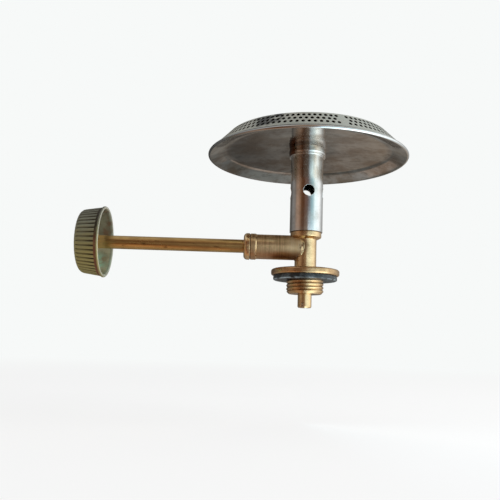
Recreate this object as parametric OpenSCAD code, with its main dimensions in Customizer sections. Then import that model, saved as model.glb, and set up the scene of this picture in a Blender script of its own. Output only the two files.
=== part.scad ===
// Gas burner that screws onto the top of a small refillable cylinder.
// A perforated head stands on a mixing tube, and a long rod with a hollow knob turns the needle valve.
// Origin: centre of the seal face, where the rubber washer meets the cylinder.
// +Z runs up the mixing tube, the control rod runs along -X.

/* [Cylinder connection] */
// Outer diameter of the cylinder thread
thread_d = 16; // [13:0.5:20]
// Pitch of the cylinder thread
thread_pitch = 1.5; // [1:0.25:2]
// Length of the threaded spigot below the seal face
spigot_len = 5.8; // [4.5:0.1:9]
// Diameter of the base flange
flange_d = 29.5; // [24:0.5:38]
// Thickness of the base flange
flange_t = 2.7; // [2.2:0.1:5]
// Rounding of the flange edges
flange_round = 0.9; // [0.2:0.1:1]
// Diameter of the rubber washer under the flange
washer_d = 27.5; // [22:0.5:36]
// Thickness of the rubber washer
washer_t = 2; // [1:0.1:3]
// Diameter of the pin that opens the cylinder valve
pin_d = 6; // [4:0.1:7]
// Length of the pin below the spigot
pin_out = 5.9; // [4:0.1:9]
// Length of the pin held inside the spigot
pin_grip = 4; // [2.5:0.1:5]
// Width of the pin's shoulder under the spigot
pin_step = 0.5; // [0.2:0.1:0.7]
// Gas bore through the pin
pin_bore_d = 2; // [1:0.1:2.2]
// Width of the gas slot across the pin tip
slot_w = 1.2; // [0.8:0.1:2]
// Height of the gas slot
slot_h = 2.2; // [1:0.1:4]
// Angle of the gas slot, from the front towards the rod
slot_turn = 20; // [0:1:90]

/* [Riser] */
// Diameter of the riser
riser_d = 9.4; // [8.4:0.1:10.4]
// Diameter of the riser tail in the flange
tail_d = 7; // [5:0.1:8]
// Length of the riser tail in the flange
tail_len = 3; // [2:0.1:3.5]
// Height of the valve axis above the flange
valve_rise = 9.55; // [7.5:0.05:20]
// Height of the tube seat above the valve axis
seat_rise = 6.85; // [6:0.05:15]
// Straight height of the collar under the tube
collar_t = 2.25; // [1:0.05:4]
// Height of the cone below the collar
collar_cone = 1; // [0.4:0.1:2]
// Step from the tube's outside in to the collar
collar_inset = 0.4; // [0.1:0.05:0.5]
// Length of the riser plug inside the tube
plug_len = 5; // [3:0.1:9]
// Diameter of the stem that carries the jet
stem_d = 8.6; // [7.5:0.1:11]
// Length of the stem above the plug
stem_len = 4.5; // [2:0.1:6]
// Inlet bore up the riser
inlet_bore_d = 3; // [2:0.1:4]
// Outlet bore from the valve to the jet
outlet_bore_d = 1.2; // [0.8:0.1:1.3]
// Least wall between the riser's side and the cross hole
riser_wall = 1.5; // [1:0.1:2]

/* [Jet] */
// Width of the jet's hexagon across flats
jet_hex = 7; // [6:0.5:8]
// Height of the jet's hexagon
jet_hex_t = 3; // [2:0.1:4]
// Height of the conical jet tip
jet_tip_t = 1.8; // [1:0.1:2.5]
// Diameter at the end of the jet tip
jet_tip_d = 2.6; // [1.5:0.1:4]
// Diameter of the jet thread
jet_thread_d = 5; // [4:0.5:6]
// Length of the jet thread
jet_thread_len = 4; // [2.5:0.1:5]
// Jet orifice
jet_orifice_d = 0.5; // [0.2:0.05:0.8]
// Thickness of the filter under the jet
filter_t = 1.5; // [0.8:0.1:2.5]

/* [Valve] */
// Diameter of the valve barrel
barrel_d = 10.8; // [10:0.1:13]
// Distance from the riser axis to the barrel mouth
barrel_len = 24; // [22:0.1:40]
// Distance from the riser axis to the end of the barrel nose
nose_back = 0.7; // [0.5:0.1:2]
// Rounding of the barrel nose
nose_round = 2; // [0.5:0.1:2.4]
// Diameter of the band round the barrel mouth
band_d = 11.4; // [10:0.1:14]
// Length of the band round the barrel mouth
band_len = 2.2; // [1:0.1:4]
// Wall of the barrel round the sealing ring
barrel_wall = 1.4; // [1:0.1:1.6]
// Wall of the barrel round the gland nut's skirt
mouth_wall = 0.9; // [0.6:0.1:1]
// Diameter of the gland nut
nut_d = 11.6; // [10:0.1:15]
// Visible length of the gland nut
nut_len = 2.7; // [2:0.1:8]
// Rounding of the gland nut's nose
nut_round = 1.6; // [0.5:0.1:1.8]
// Length of the gland nut's skirt inside the barrel
skirt_len = 4; // [2:0.1:5]
// Thickness of the seal under the gland nut
seal_t = 0.3; // [0.2:0.05:1]
// Thickness of the washer that stops the spindle
stop_t = 0.6; // [0.3:0.05:1]
// Diameter of the valve orifice
orifice_d = 1.6; // [1:0.1:2]
// Thickness of the valve seat
seat_t = 0.8; // [0.5:0.1:1]

/* [Spindle] */
// Diameter of the control rod
rod_d = 5.8; // [4.5:0.1:6]
// Length of rod between the gland nut and the knob rim
rod_out = 60.1; // [20:0.1:120]
// Diameter of the spindle thread
spindle_thread_d = 6; // [5:0.1:6.5]
// Pitch of the spindle thread
spindle_pitch = 1; // [0.75:0.05:1.25]
// Distance that the needle lifts from its seat
needle_lift = 2; // [1:0.1:2.2]
// Diameter of the neck behind the needle
neck_d = 2.8; // [2.2:0.1:3]
// Length of the needle cone
needle_len = 2.8; // [2:0.1:4]
// Diameter of the needle's tip
tip_d = 0.6; // [0.4:0.1:0.8]
// Length of the collar that carries the sealing ring
ring_collar_len = 3.6; // [2.6:0.1:4]
// Section of the rubber sealing ring
ring_t = 1.6; // [1:0.1:1.8]
// Distance from the rod axis to the flat inside the knob
rod_flat = 2.2; // [1.9:0.1:2.2]

/* [Knob] */
// Diameter over the knob's rim bead
knob_d = 31; // [26:0.5:40]
// Height of the rim bead above the knob's body
bead_out = 0.35; // [0.2:0.05:1]
// Narrowing of the knob's radius towards its closed end
knob_taper = 1.45; // [0.2:0.05:2]
// Length of the knob
knob_len = 10.8; // [9:0.1:18]
// Wall of the pressed knob
knob_wall = 0.9; // [0.6:0.05:1.2]
// Section of the rim bead
bead_t = 1.3; // [1:0.1:2.4]
// Rounding of the closed end
knob_round = 2; // [1:0.1:3]
// Diameter of the recess for the screw
recess_d = 12; // [10.5:0.5:16]
// Depth of the recess for the screw
recess_h = 2.2; // [1.5:0.1:3]
// Number of grip grooves
groove_n = 48; // [24:1:60]
// Radius of a grip groove
groove_r = 0.4; // [0.3:0.05:0.6]
// Depth of a grip groove
groove_h = 0.3; // [0.15:0.05:0.35]
// Plain stretch between the rim and the grooves
groove_start = 1.8; // [1.5:0.1:4]
// Diameter of the hub inside the knob
hub_d = 10; // [8:0.1:12]
// Length of the hub inside the knob
hub_len = 3.4; // [2:0.1:4]
// Diameter of the knob screw
screw_d = 3; // [2.5:0.1:3.4]
// Length of the knob screw under its head
screw_len = 8; // [5:0.5:12]
// Diameter of the knob screw's head
screw_head_d = 5.6; // [4.5:0.1:7]
// Height of the knob screw's head
screw_head_t = 1.6; // [1.2:0.1:2.5]
// Diameter of the washer under the knob screw
screw_washer_d = 7.4; // [6:0.1:8]
// Thickness of the washer under the knob screw
screw_washer_t = 0.4; // [0.3:0.05:1]

/* [Mixing tube] */
// Outer diameter of the mixing tube
tube_d = 14.3; // [13:0.1:18]
// Wall of the mixing tube
tube_wall = 0.6; // [0.5:0.05:1]
// Length of the tube from its seat to the pan
tube_len = 37.4; // [30:0.1:70]
// Width of the lip that is flared over the pan
lip_w = 1.6; // [0.8:0.1:3]
// Diameter of an air hole
air_hole_d = 5; // [3:0.1:6]
// Number of air holes
air_hole_n = 4; // [2:1:6]
// Height of the air holes above the tube's seat
air_hole_rise = 17.5; // [13:0.1:26]
// Angle of the first air hole, from the front away from the rod
air_hole_turn = 6; // [-45:1:45]

/* [Burner head] */
// Diameter of the pan over its rolled hem
pan_d = 88; // [76:1:110]
// Thickness of the pan and cap sheet
sheet_t = 0.4; // [0.3:0.05:0.6]
// Width of the hem's lip on the cap
hem_lip = 0.5; // [0.2:0.1:1.5]
// Height of the pan's centre above the hem's lower edge
pan_rise = 4.8; // [3:0.1:8]
// Fall of the pan floor from its centre to the brim
floor_drop = 1.5; // [0.5:0.1:2]
// Width of the pan's steeper brim
brim_w = 8; // [4:0.5:14]
// Blend between the pan floor and its brim
brim_blend = 4; // [1:0.5:8]
// Wall of the ferrule under the pan
ferrule_wall = 0.95; // [0.6:0.05:2]
// Length of the ferrule under the pan
ferrule_len = 3.8; // [2:0.1:8]
// Bulge of the ferrule's side
ferrule_bulge = 0.25; // [0.1:0.05:0.4]
// Diameter of the cap's top edge
cap_top_d = 69.8; // [54:0.2:72]
// Height of the cap's top edge above the hem's lower edge
cap_rise = 9.3; // [8:0.1:14]
// Blend at the cap's top edge
cap_blend = 1.4; // [0.5:0.1:2]
// Height of the cap's dome above its top edge
dome_h = 1.2; // [0.4:0.1:4]
// Diameter of a flame port
port_d = 1.3; // [0.8:0.05:1.4]
// Places for flame ports round one row
port_n = 108; // [60:3:108]
// Rows of flame ports
port_rows = 3; // [1:1:3]
// Distance between rows of flame ports
row_pitch = 2.7; // [2:0.1:3.2]
// Distance from the cap's top edge to the first row
row_start = 2.2; // [2:0.1:3]
// Plain bars that part the flame ports
bar_n = 3; // [1:1:3]
// Angle of the first bar, from the front away from the rod
bar_turn = 16; // [0:1:90]

/* [Hidden] */

$fn = 96;
// Round parts that are small
small_fn = 32;
// Straight steps in each rounded corner
arc_steps = 8;
// Straight steps in the cap's dome
dome_steps = 10;
// Overlap that makes a cut run clear of a face
cut = 0.5;

// Gap between pieces that are pressed, screwed or brazed together
fit = 0.02;
// Gap round the rod and the spindle where they turn
run_gap = 0.05;
// Gap round the sealing ring
ring_gap = 0.02;
// Gap on each side of the sealing ring in its groove
ring_side = 0.15;
// Gap between the needle and its seat at rest
needle_gap = 0.03;
// Gap left at the ends of the spindle's travel
stop_gap = 0.15;
// Gap between the washer's hole and the thread
washer_gap = 0.1;
// Gap round the knob screw where it passes through the floor
screw_gap = 0.1;
// Brazing gap between the barrel and the riser
braze_gap = 0.03;

// Flat of a thread crest, slope of its flank and its depth, in pitches
crest = 0.2;
flank = 0.3;
thread_depth = 0.55;

// Small edge breaks
edge = 0.4;
fine_edge = 0.2;

thread_r = thread_d / 2;
relief_r = thread_r - thread_depth * thread_pitch;
thread_turns = floor((spigot_len - edge) / thread_pitch - crest);
thread_low = -(thread_turns + crest) * thread_pitch;
tip_inset = 1;

flange_top = washer_t + flange_t;
pin_top = pin_grip - spigot_len;
pin_low = -spigot_len - pin_out;
tail_low = flange_top - tail_len;

valve_z = flange_top + valve_rise;
tube_low = valve_z + seat_rise;
plug_top = tube_low + plug_len;
stem_top = plug_top + stem_len;
tube_r = tube_d / 2;
tube_in_r = tube_r - tube_wall;
collar_r = tube_r - collar_inset;
collar_low = tube_low - collar_t;
jet_floor = stem_top - jet_thread_len - filter_t;
jet_bore_d = jet_thread_d / 2;

// Stations along the rod are measured from the riser axis towards the knob
riser_r = riser_d / 2;
end_wall = 0.35;
valve_plug_r = riser_r - riser_wall;
valve_plug_reach = sqrt(pow(riser_r - end_wall, 2) - pow(valve_plug_r, 2));
pocket_len = 1.4;
pocket_r = outlet_bore_d;
chamber_wall = 1;
chamber_r = valve_plug_r - chamber_wall;
inlet_port_d = 2.2;
seat_s = pocket_len + seat_t - valve_plug_reach;
inlet_s = seat_s + inlet_port_d / 2;
outlet_s = pocket_len / 2 - valve_plug_reach;
bore_land = 1.3;
bore_s = riser_r + bore_land;
barrel_r = barrel_d / 2;
ring_bore_r = barrel_r - barrel_wall;
skirt_r = barrel_r - mouth_wall;
nut_s = barrel_len + seal_t;
skirt_s = nut_s - skirt_len;
stop_s = skirt_s - stop_t;
nut_end = nut_s + nut_len;
nut_hole_r = rod_d / 2 + run_gap;
spanner_hole_d = 1.4;
spanner_hole_h = 1.2;
spanner_circle_r = (nut_hole_r + skirt_r) / 2;

orifice_r = orifice_d / 2;
needle_slope = (neck_d - tip_d) / 2 / needle_len;
tip_s = seat_s - (orifice_r - needle_gap - tip_d / 2) / needle_slope;
neck_s = tip_s + needle_len;
thread_s = bore_s + stop_gap;
collar_end_s = stop_s - needle_lift - stop_gap;
collar_s = collar_end_s - ring_collar_len;
ring_bore_s = collar_s - stop_gap;
spindle_turns = floor((ring_bore_s - bore_s - needle_lift) / spindle_pitch - crest);
ring_s = (collar_s + collar_end_s) / 2;
ring_mid_r = ring_bore_r - ring_gap - ring_t / 2;
groove_root_r = ring_mid_r - ring_t / 2 - run_gap;
groove_half = ring_t / 2 + ring_side;

knob_body_r = knob_d / 2 - bead_out;
knob_end_r = knob_body_r - knob_taper;
knob_s = nut_end + rod_out;
knob_end_s = knob_s + knob_len;
knob_floor_s = knob_end_s - recess_h - knob_wall;
hub_s = knob_floor_s - hub_len;
screw_seat_s = knob_floor_s + knob_wall + screw_washer_t;
recess_slope = 0.8;
screw_slot_w = 0.8;
screw_slot_h = 0.8;

pan_z = tube_low + tube_len;
hem_z = pan_z - pan_rise;
pan_r = pan_d / 2;
// The pan is flat where the ferrule and the tube's lip grip it
seat_land = 0.6;
ferrule_r = tube_r + ferrule_wall;
pan_seat_r = max(ferrule_r, tube_r + lip_w) + seat_land;
// The hem folds one layer of the pan round the edge of the cap, about a circle of this middle radius
fold_r = sheet_t + fit;
fold_c = [pan_r - fold_r - sheet_t / 2, hem_z + fold_r + sheet_t / 2];
cap_edge = [cap_top_d / 2, hem_z + cap_rise];
cone_dir = unit(fold_c - cap_edge);
cone_tilt = atan2(-cone_dir[1], cone_dir[0]);
brim_edge = [pan_r - brim_w, pan_z - floor_drop + sheet_t / 2];
brim_run = fold_c - brim_edge;
brim_turn = atan2(brim_run[1], brim_run[0]) - asin(fold_r / norm(brim_run));
port_step = 360 / port_n;
ports_per_bar = floor(port_n / bar_n);
front = -90;

brass = [0.72, 0.55, 0.34];
dull_brass = [0.47, 0.42, 0.27];
steel = [0.62, 0.62, 0.6];
stained_steel = [0.42, 0.39, 0.35];
chrome = [0.78, 0.78, 0.78];
rubber = [0.16, 0.18, 0.19];
fibre = [0.25, 0.17, 0.12];
bronze = [0.55, 0.4, 0.28];

// Points, paths and outlines

function unit(v) = v / norm(v);
function left(v) = [-v[1], v[0]];

// Rounded corner at b between a and c
function corner(a, b, c, r) =
    let (
        u = unit(a - b),
        v = unit(c - b),
        half = acos(u * v) / 2,
        mid = b + unit(u + v) * r / sin(half),
        from = unit(b + u * r / tan(half) - mid),
        to = unit(b + v * r / tan(half) - mid)
    )
    [for (i = [0 : arc_steps]) mid + r * unit(from * (arc_steps - i) + to * i)];

// Path whose inner points are rounded, each by its own radius, where 0 stays sharp
function rounded(path, radii) = [
    path[0],
    for (i = [1 : len(path) - 2])
        each radii[i - 1] > 0 ? corner(path[i - 1], path[i], path[i + 1], radii[i - 1]) : [path[i]],
    path[len(path) - 1]
];

// Sideways step from a path's middle line to its surface, for a sheet of unit half thickness
function side(path, i) =
    let (
        last = len(path) - 1,
        before = left(unit(path[max(i, 1)] - path[max(i, 1) - 1])),
        after = left(unit(path[min(i, last - 1) + 1] - path[min(i, last - 1)])),
        mean = unit(before + after)
    )
    mean / (mean * after);

// Outline of a bent sheet of thickness t along its middle line, kept on one side of the axis
function sheet(path, t) = [
    for (i = [0 : len(path) - 1]) on_axis(path[i] + side(path, i) * t / 2),
    for (i = [len(path) - 1 : -1 : 0]) on_axis(path[i] - side(path, i) * t / 2)
];
function on_axis(p) = [max(p[0], 0), p[1]];

// Thread outline from z upwards, crest to crest
function thread_outline(r, pitch, z, turns) = [
    for (i = [0 : turns - 1])
        each [
            [r, z + i * pitch],
            [r, z + (i + crest) * pitch],
            [r - thread_depth * pitch, z + (i + crest + flank) * pitch],
            [r - thread_depth * pitch, z + (i + 1 - flank) * pitch]
        ],
    [r, z + turns * pitch],
    [r, z + (turns + crest) * pitch]
];

// Side of a ring that bulges out to r halfway between two heights
function bulged(r, bulge, low, high) =
    let (
        half = (high - low) / 2,
        ball = (pow(half, 2) + pow(bulge, 2)) / (2 * bulge)
    )
    [
        for (i = [-arc_steps : arc_steps])
            let (rise = half * i / arc_steps)
            [r - ball + sqrt(pow(ball, 2) - pow(rise, 2)), low + half + rise]
    ];

function dome_point(r) =
    let (ball = (pow(cap_edge[0], 2) + pow(dome_h, 2)) / (2 * dome_h))
    [r, cap_edge[1] + dome_h - ball + sqrt(pow(ball, 2) - pow(r, 2))];

function fold_point(turn) = fold_c + fold_r * [cos(turn), sin(turn)];

cap_path = rounded([
    fold_c,
    cap_edge,
    for (i = [1 : dome_steps]) dome_point(cap_edge[0] * (1 - i / dome_steps))
], [cap_blend, for (i = [1 : dome_steps - 1]) 0]);

// The brim meets the fold as a tangent, and the lip lies along the cap's cone
fold_from = brim_turn - 90;
fold_to = 90 - cone_tilt;
pan_path = concat(
    rounded([
        [tube_r + fit, pan_z + sheet_t / 2],
        [pan_seat_r, pan_z + sheet_t / 2],
        brim_edge,
        fold_point(fold_from)
    ], [0, brim_blend]),
    [for (i = [1 : 2 * arc_steps]) fold_point(fold_from + (fold_to - fold_from) * i / (2 * arc_steps))],
    [fold_point(fold_to) - cone_dir * hem_lip]
);

knob_floor_mid = knob_len - recess_h - knob_wall / 2;
knob_path = rounded([
    [knob_body_r - knob_wall / 2, bead_t / 2],
    [knob_end_r - knob_wall / 2, knob_len - knob_wall / 2],
    [recess_d / 2, knob_len - knob_wall / 2],
    [recess_d / 2 - recess_slope, knob_floor_mid],
    [screw_d / 2 + screw_gap, knob_floor_mid]
], [knob_round, knob_wall, knob_wall]);

// Shared placing and shapes

// Puts what stands on +Z onto the valve axis, pointing from the riser towards the knob
module along_rod() {
    translate([0, 0, valve_z])
        rotate([0, -90, 0])
            children();
}

// Ring or disc about Z between two heights
module ring(r_out, r_in, low, high) {
    rotate_extrude()
        translate([r_in, low])
            square([r_out - r_in, high - low]);
}

// Round bar about Z between two heights, or the cutter for a hole of that size
module bar(r, low, high) {
    translate([0, 0, low])
        cylinder(r = r, h = high - low);
}

// Rod with one flat, for the knob's drive
module flatted(r, flat, low, high) {
    translate([0, 0, low])
        linear_extrude(high - low)
            intersection() {
                circle(r = r);
                translate([-r, -r])
                    square([r + flat, 2 * r]);
            }
}

// Outside of the riser, grown by a gap for the barrel's saddle
module riser_outside(gap) {
    rotate_extrude()
        polygon([
            [0, tail_low],
            [tail_d / 2 + gap, tail_low],
            [tail_d / 2 + gap, flange_top],
            [riser_r + gap, flange_top],
            [riser_r + gap, collar_low - collar_cone],
            [collar_r + gap, collar_low],
            [collar_r + gap, tube_low],
            [tube_in_r - fit + gap, tube_low],
            [tube_in_r - fit + gap, plug_top],
            [stem_d / 2 + gap, plug_top],
            [stem_d / 2 + gap, stem_top],
            [0, stem_top]
        ]);
}

// Cylinder connection

module base_flange() {
    color(brass)
        difference() {
            rotate_extrude()
                polygon(concat(
                    [[0, -spigot_len], [thread_r - tip_inset, -spigot_len]],
                    thread_outline(thread_r, thread_pitch, thread_low, thread_turns),
                    rounded([
                        [relief_r, 0],
                        [relief_r, washer_t],
                        [flange_d / 2, washer_t],
                        [flange_d / 2, flange_top],
                        [0, flange_top]
                    ], [0, flange_round, flange_round])
                ));
            bar(pin_d / 2 - pin_step + fit, -spigot_len - cut, pin_top);
            bar(inlet_bore_d / 2, pin_top - cut, tail_low + cut);
            bar(tail_d / 2 + fit, tail_low, flange_top + cut);
        }
}

module seal_washer() {
    hole_r = thread_r + washer_gap;
    color(rubber)
        rotate_extrude()
            polygon(rounded([
                [hole_r, 0],
                [washer_d / 2, 0],
                [washer_d / 2, washer_t],
                [hole_r, washer_t]
            ], [edge, fine_edge]));
}

module inlet_pin() {
    color(brass)
        difference() {
            rotate_extrude()
                polygon([
                    [pin_bore_d / 2, pin_low],
                    [pin_d / 2 - edge, pin_low],
                    [pin_d / 2, pin_low + edge],
                    [pin_d / 2, -spigot_len],
                    [pin_d / 2 - pin_step, -spigot_len],
                    [pin_d / 2 - pin_step, pin_top],
                    [pin_bore_d / 2, pin_top]
                ]);
            rotate([0, 0, -slot_turn])
                translate([-slot_w / 2, -pin_d, pin_low - cut])
                    cube([slot_w, 2 * pin_d, slot_h + cut]);
        }
}

// Valve body

module riser_body() {
    color(brass)
        difference() {
            riser_outside(0);
            bar(inlet_bore_d / 2, tail_low - cut, valve_z);
            along_rod()
                bar(valve_plug_r + fit, -valve_plug_reach - fit, riser_r + cut);
            translate([-outlet_s, 0, 0])
                bar(outlet_bore_d / 2, valve_z, jet_floor + cut);
            bar(jet_thread_d / 2 + fit, jet_floor, stem_top + cut);
        }
}

module barrel_outside() {
    rotate_extrude()
        polygon(rounded([
            [0, nose_back],
            [barrel_r, nose_back],
            [barrel_r, barrel_len - band_len],
            [band_d / 2, barrel_len - band_len],
            [band_d / 2, barrel_len],
            [0, barrel_len]
        ], [nose_round, 0, fine_edge, fine_edge]));
}

module valve_barrel() {
    color(brass)
        difference() {
            union() {
                difference() {
                    along_rod()
                        barrel_outside();
                    riser_outside(braze_gap);
                }
                along_rod()
                    bar(valve_plug_r, -valve_plug_reach, riser_r + bore_land);
            }
            along_rod() {
                bar(pocket_r, -valve_plug_reach - cut, pocket_len - valve_plug_reach);
                bar(orifice_r, -valve_plug_reach, seat_s + cut);
                bar(chamber_r, seat_s, bore_s + cut);
                bar(spindle_thread_d / 2 + run_gap, bore_s, ring_bore_s + cut);
                bar(ring_bore_r, ring_bore_s, stop_s + cut);
                bar(skirt_r + fit, stop_s, barrel_len + cut);
            }
            translate([-inlet_s, 0, 0])
                bar(inlet_port_d / 2, valve_z - valve_plug_r - cut, valve_z);
            translate([-outlet_s, 0, 0])
                bar(outlet_bore_d / 2, valve_z, valve_z + valve_plug_r + cut);
        }
}

module gland_nut() {
    color(brass)
        along_rod()
            difference() {
                rotate_extrude()
                    polygon(rounded([
                        [nut_hole_r, skirt_s],
                        [skirt_r, skirt_s],
                        [skirt_r, nut_s],
                        [nut_d / 2, nut_s],
                        [nut_d / 2, nut_end],
                        [nut_hole_r, nut_end]
                    ], [fine_edge, 0, fine_edge, nut_round]));
                for (turn = [0, 180])
                    rotate([0, 0, turn])
                        translate([spanner_circle_r, 0, 0])
                            bar(spanner_hole_d / 2, nut_end - spanner_hole_h, nut_end + cut, $fn = small_fn);
            }
}

module gland_seal() {
    color(fibre)
        along_rod()
            ring(barrel_r, skirt_r + fit, barrel_len, nut_s);
}

module stop_washer() {
    color(steel)
        along_rod()
            ring(skirt_r, nut_hole_r + run_gap, stop_s, skirt_s);
}

// Spindle and knob

module sealing_ring() {
    color(rubber)
        along_rod()
            translate([0, 0, ring_s])
                rotate_extrude()
                    translate([ring_mid_r, 0])
                        circle(d = ring_t, $fn = small_fn);
}

module valve_spindle() {
    collar_r = ring_bore_r - run_gap;
    color(brass)
        along_rod()
            difference() {
                rotate_extrude()
                    polygon(concat(
                        [[0, tip_s], [tip_d / 2, tip_s], [neck_d / 2, neck_s], [neck_d / 2, thread_s]],
                        thread_outline(spindle_thread_d / 2, spindle_pitch, thread_s, spindle_turns),
                        [
                            [neck_d / 2, thread_s + (spindle_turns + crest) * spindle_pitch],
                            [neck_d / 2, collar_s],
                            [collar_r, collar_s],
                            [collar_r, ring_s - groove_half],
                            [groove_root_r, ring_s - groove_half],
                            [groove_root_r, ring_s + groove_half],
                            [collar_r, ring_s + groove_half],
                            [collar_r, collar_end_s],
                            [rod_d / 2, collar_end_s],
                            [rod_d / 2, knob_floor_s],
                            [0, knob_floor_s]
                        ]
                    ));
                translate([rod_flat, -rod_d, hub_s])
                    cube([rod_d, 2 * rod_d, hub_len + cut]);
                bar(screw_d / 2 + fit, screw_seat_s - screw_len - cut, knob_floor_s + cut, $fn = small_fn);
            }
}

module grip_grooves() {
    wall_tilt = atan(knob_taper / (knob_len - bead_t / 2));
    for (i = [0 : groove_n - 1])
        rotate([0, 0, i * 360 / groove_n])
            translate([knob_body_r, 0, bead_t / 2])
                rotate([0, -wall_tilt, 0])
                    translate([groove_r - groove_h, 0, groove_start - bead_t / 2])
                        cylinder(r = groove_r, h = knob_len, $fn = small_fn);
}

module knob_cup() {
    color(dull_brass)
        along_rod()
            translate([0, 0, knob_s])
                difference() {
                    union() {
                        rotate_extrude()
                            polygon(sheet(knob_path, knob_wall));
                        rotate_extrude()
                            translate([(knob_d - bead_t) / 2, bead_t / 2])
                                circle(d = bead_t, $fn = small_fn);
                    }
                    grip_grooves();
                }
}

module knob_hub() {
    color(dull_brass)
        along_rod()
            difference() {
                ring(hub_d / 2, 0, hub_s, knob_floor_s);
                flatted(rod_d / 2 + fit, rod_flat + fit, hub_s - cut, knob_floor_s + cut);
            }
}

module knob_washer() {
    color(steel)
        along_rod()
            ring(screw_washer_d / 2, screw_d / 2 + screw_gap, screw_seat_s - screw_washer_t, screw_seat_s);
}

module knob_screw() {
    head_top = screw_seat_s + screw_head_t;
    color(steel)
        along_rod()
            difference() {
                rotate_extrude()
                    polygon(rounded([
                        [0, screw_seat_s - screw_len],
                        [screw_d / 2, screw_seat_s - screw_len],
                        [screw_d / 2, screw_seat_s],
                        [screw_head_d / 2, screw_seat_s],
                        [screw_head_d / 2, head_top],
                        [0, head_top]
                    ], [edge, 0, 0, edge]));
                translate([-screw_slot_w / 2, -screw_head_d, head_top - screw_slot_h])
                    cube([screw_slot_w, 2 * screw_head_d, screw_slot_h + cut]);
            }
}

// Jet and mixing tube

module jet() {
    tip_top = stem_top + jet_hex_t + jet_tip_t;
    bore_top = stem_top + jet_hex_t;
    color(brass)
        difference() {
            union() {
                bar(jet_thread_d / 2, stem_top - jet_thread_len, stem_top + cut, $fn = small_fn);
                translate([0, 0, stem_top])
                    cylinder(d = jet_hex / cos(30), h = jet_hex_t, $fn = 6);
                rotate_extrude()
                    polygon([
                        [0, bore_top],
                        [jet_hex / 2 - edge, bore_top],
                        [jet_tip_d / 2, tip_top],
                        [0, tip_top]
                    ]);
            }
            bar(jet_bore_d / 2, stem_top - jet_thread_len - cut, bore_top, $fn = small_fn);
            bar(jet_orifice_d / 2, bore_top - cut, tip_top + cut, $fn = small_fn);
        }
}

module jet_filter() {
    color(bronze)
        bar(jet_thread_d / 2, jet_floor, jet_floor + filter_t, $fn = small_fn);
}

module mixing_tube() {
    lip_low = pan_z + sheet_t;
    lip_top = lip_low + tube_wall;
    color(chrome)
        difference() {
            rotate_extrude()
                polygon([
                    [tube_in_r, tube_low],
                    [tube_r, tube_low],
                    [tube_r, lip_low],
                    [tube_r + lip_w, lip_low],
                    [tube_r + lip_w, lip_top],
                    [tube_in_r, lip_top]
                ]);
            for (i = [0 : air_hole_n - 1])
                rotate([0, 0, front + air_hole_turn + i * 360 / air_hole_n])
                    translate([0, 0, tube_low + air_hole_rise])
                        rotate([0, 90, 0])
                            cylinder(d = air_hole_d, h = tube_d);
        }
}

// Burner head

module pan_ferrule() {
    ferrule_low = pan_z - ferrule_len;
    color(steel)
        rotate_extrude()
            polygon(concat(
                [[tube_r + fit, ferrule_low]],
                bulged(ferrule_r, ferrule_bulge, ferrule_low, pan_z),
                [[tube_r + fit, pan_z]]
            ));
}

module burner_pan() {
    color(stained_steel)
        rotate_extrude()
            polygon(sheet(pan_path, sheet_t));
}

// Every second row stands half a step round, and leaves out one more port at each bar
module flame_ports() {
    for (row = [0 : port_rows - 1], gap = [0 : bar_n - 1], i = [1 : ports_per_bar - 1 - row % 2]) {
        place = cap_edge + cone_dir * (row_start + row * row_pitch);
        rotate([0, 0, front + bar_turn + gap * 360 / bar_n + (i + (row % 2) / 2) * port_step])
            translate([place[0], 0, place[1]])
                rotate([0, cone_tilt, 0])
                    cylinder(d = port_d, h = 6 * sheet_t, center = true, $fn = small_fn);
    }
}

module flame_cap() {
    color(steel)
        difference() {
            rotate_extrude()
                polygon(sheet(cap_path, sheet_t));
            flame_ports();
        }
}

base_flange();
seal_washer();
inlet_pin();
riser_body();
valve_barrel();
gland_nut();
gland_seal();
stop_washer();
sealing_ring();
valve_spindle();
knob_cup();
knob_hub();
knob_washer();
knob_screw();
jet();
jet_filter();
mixing_tube();
pan_ferrule();
burner_pan();
flame_cap();
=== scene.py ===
"""Looks of a cylinder-top gas burner: meshes, finishes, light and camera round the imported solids.

Sizes are in millimetres in the frame of the solids, and become metres where a mesh is made.
"""

import logging
import math
from abc import ABC, abstractmethod
from bisect import bisect_left
from collections.abc import Callable, Iterator, Sequence
from contextlib import contextmanager
from dataclasses import dataclass, field
from enum import Enum
from functools import partial, reduce
from operator import itemgetter
from typing import ClassVar

import bmesh
import bpy
from mathutils import Matrix, Vector, noise


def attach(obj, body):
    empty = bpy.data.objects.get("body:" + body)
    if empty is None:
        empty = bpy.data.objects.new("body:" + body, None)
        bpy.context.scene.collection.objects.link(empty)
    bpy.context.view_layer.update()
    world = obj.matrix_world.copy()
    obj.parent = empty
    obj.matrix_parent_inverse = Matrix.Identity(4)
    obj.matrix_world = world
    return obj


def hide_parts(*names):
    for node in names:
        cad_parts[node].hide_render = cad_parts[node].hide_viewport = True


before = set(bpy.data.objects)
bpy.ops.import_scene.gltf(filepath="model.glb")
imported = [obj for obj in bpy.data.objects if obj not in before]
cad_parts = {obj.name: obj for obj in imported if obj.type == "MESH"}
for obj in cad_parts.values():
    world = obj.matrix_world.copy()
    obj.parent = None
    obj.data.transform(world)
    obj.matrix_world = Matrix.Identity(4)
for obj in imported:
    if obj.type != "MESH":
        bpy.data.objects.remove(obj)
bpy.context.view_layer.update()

LOG = logging.getLogger("burner")
MM = 0.001
POLE = 1e-6
JOIN_M = 2e-6
SLIVER_M = 1e-7
TONE_LAYER = "tone"
VALVE_Z = 14.25
FRONT = math.radians(-90)

Point = tuple[float, float]
Corner = tuple[float, float, float]
Place = tuple[float, float, float]
Colour = tuple[float, float, float]
CardRow = tuple[float, float, float]
ToneTable = tuple[tuple[float, Colour], ...]
Shape = Callable[[float, float, float], Point]
Socket = bpy.types.NodeSocket
Value = float | Socket


class Body(Enum):
    """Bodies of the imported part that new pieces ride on."""

    BURNER = "burner"
    SPINDLE = "spindle"


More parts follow.
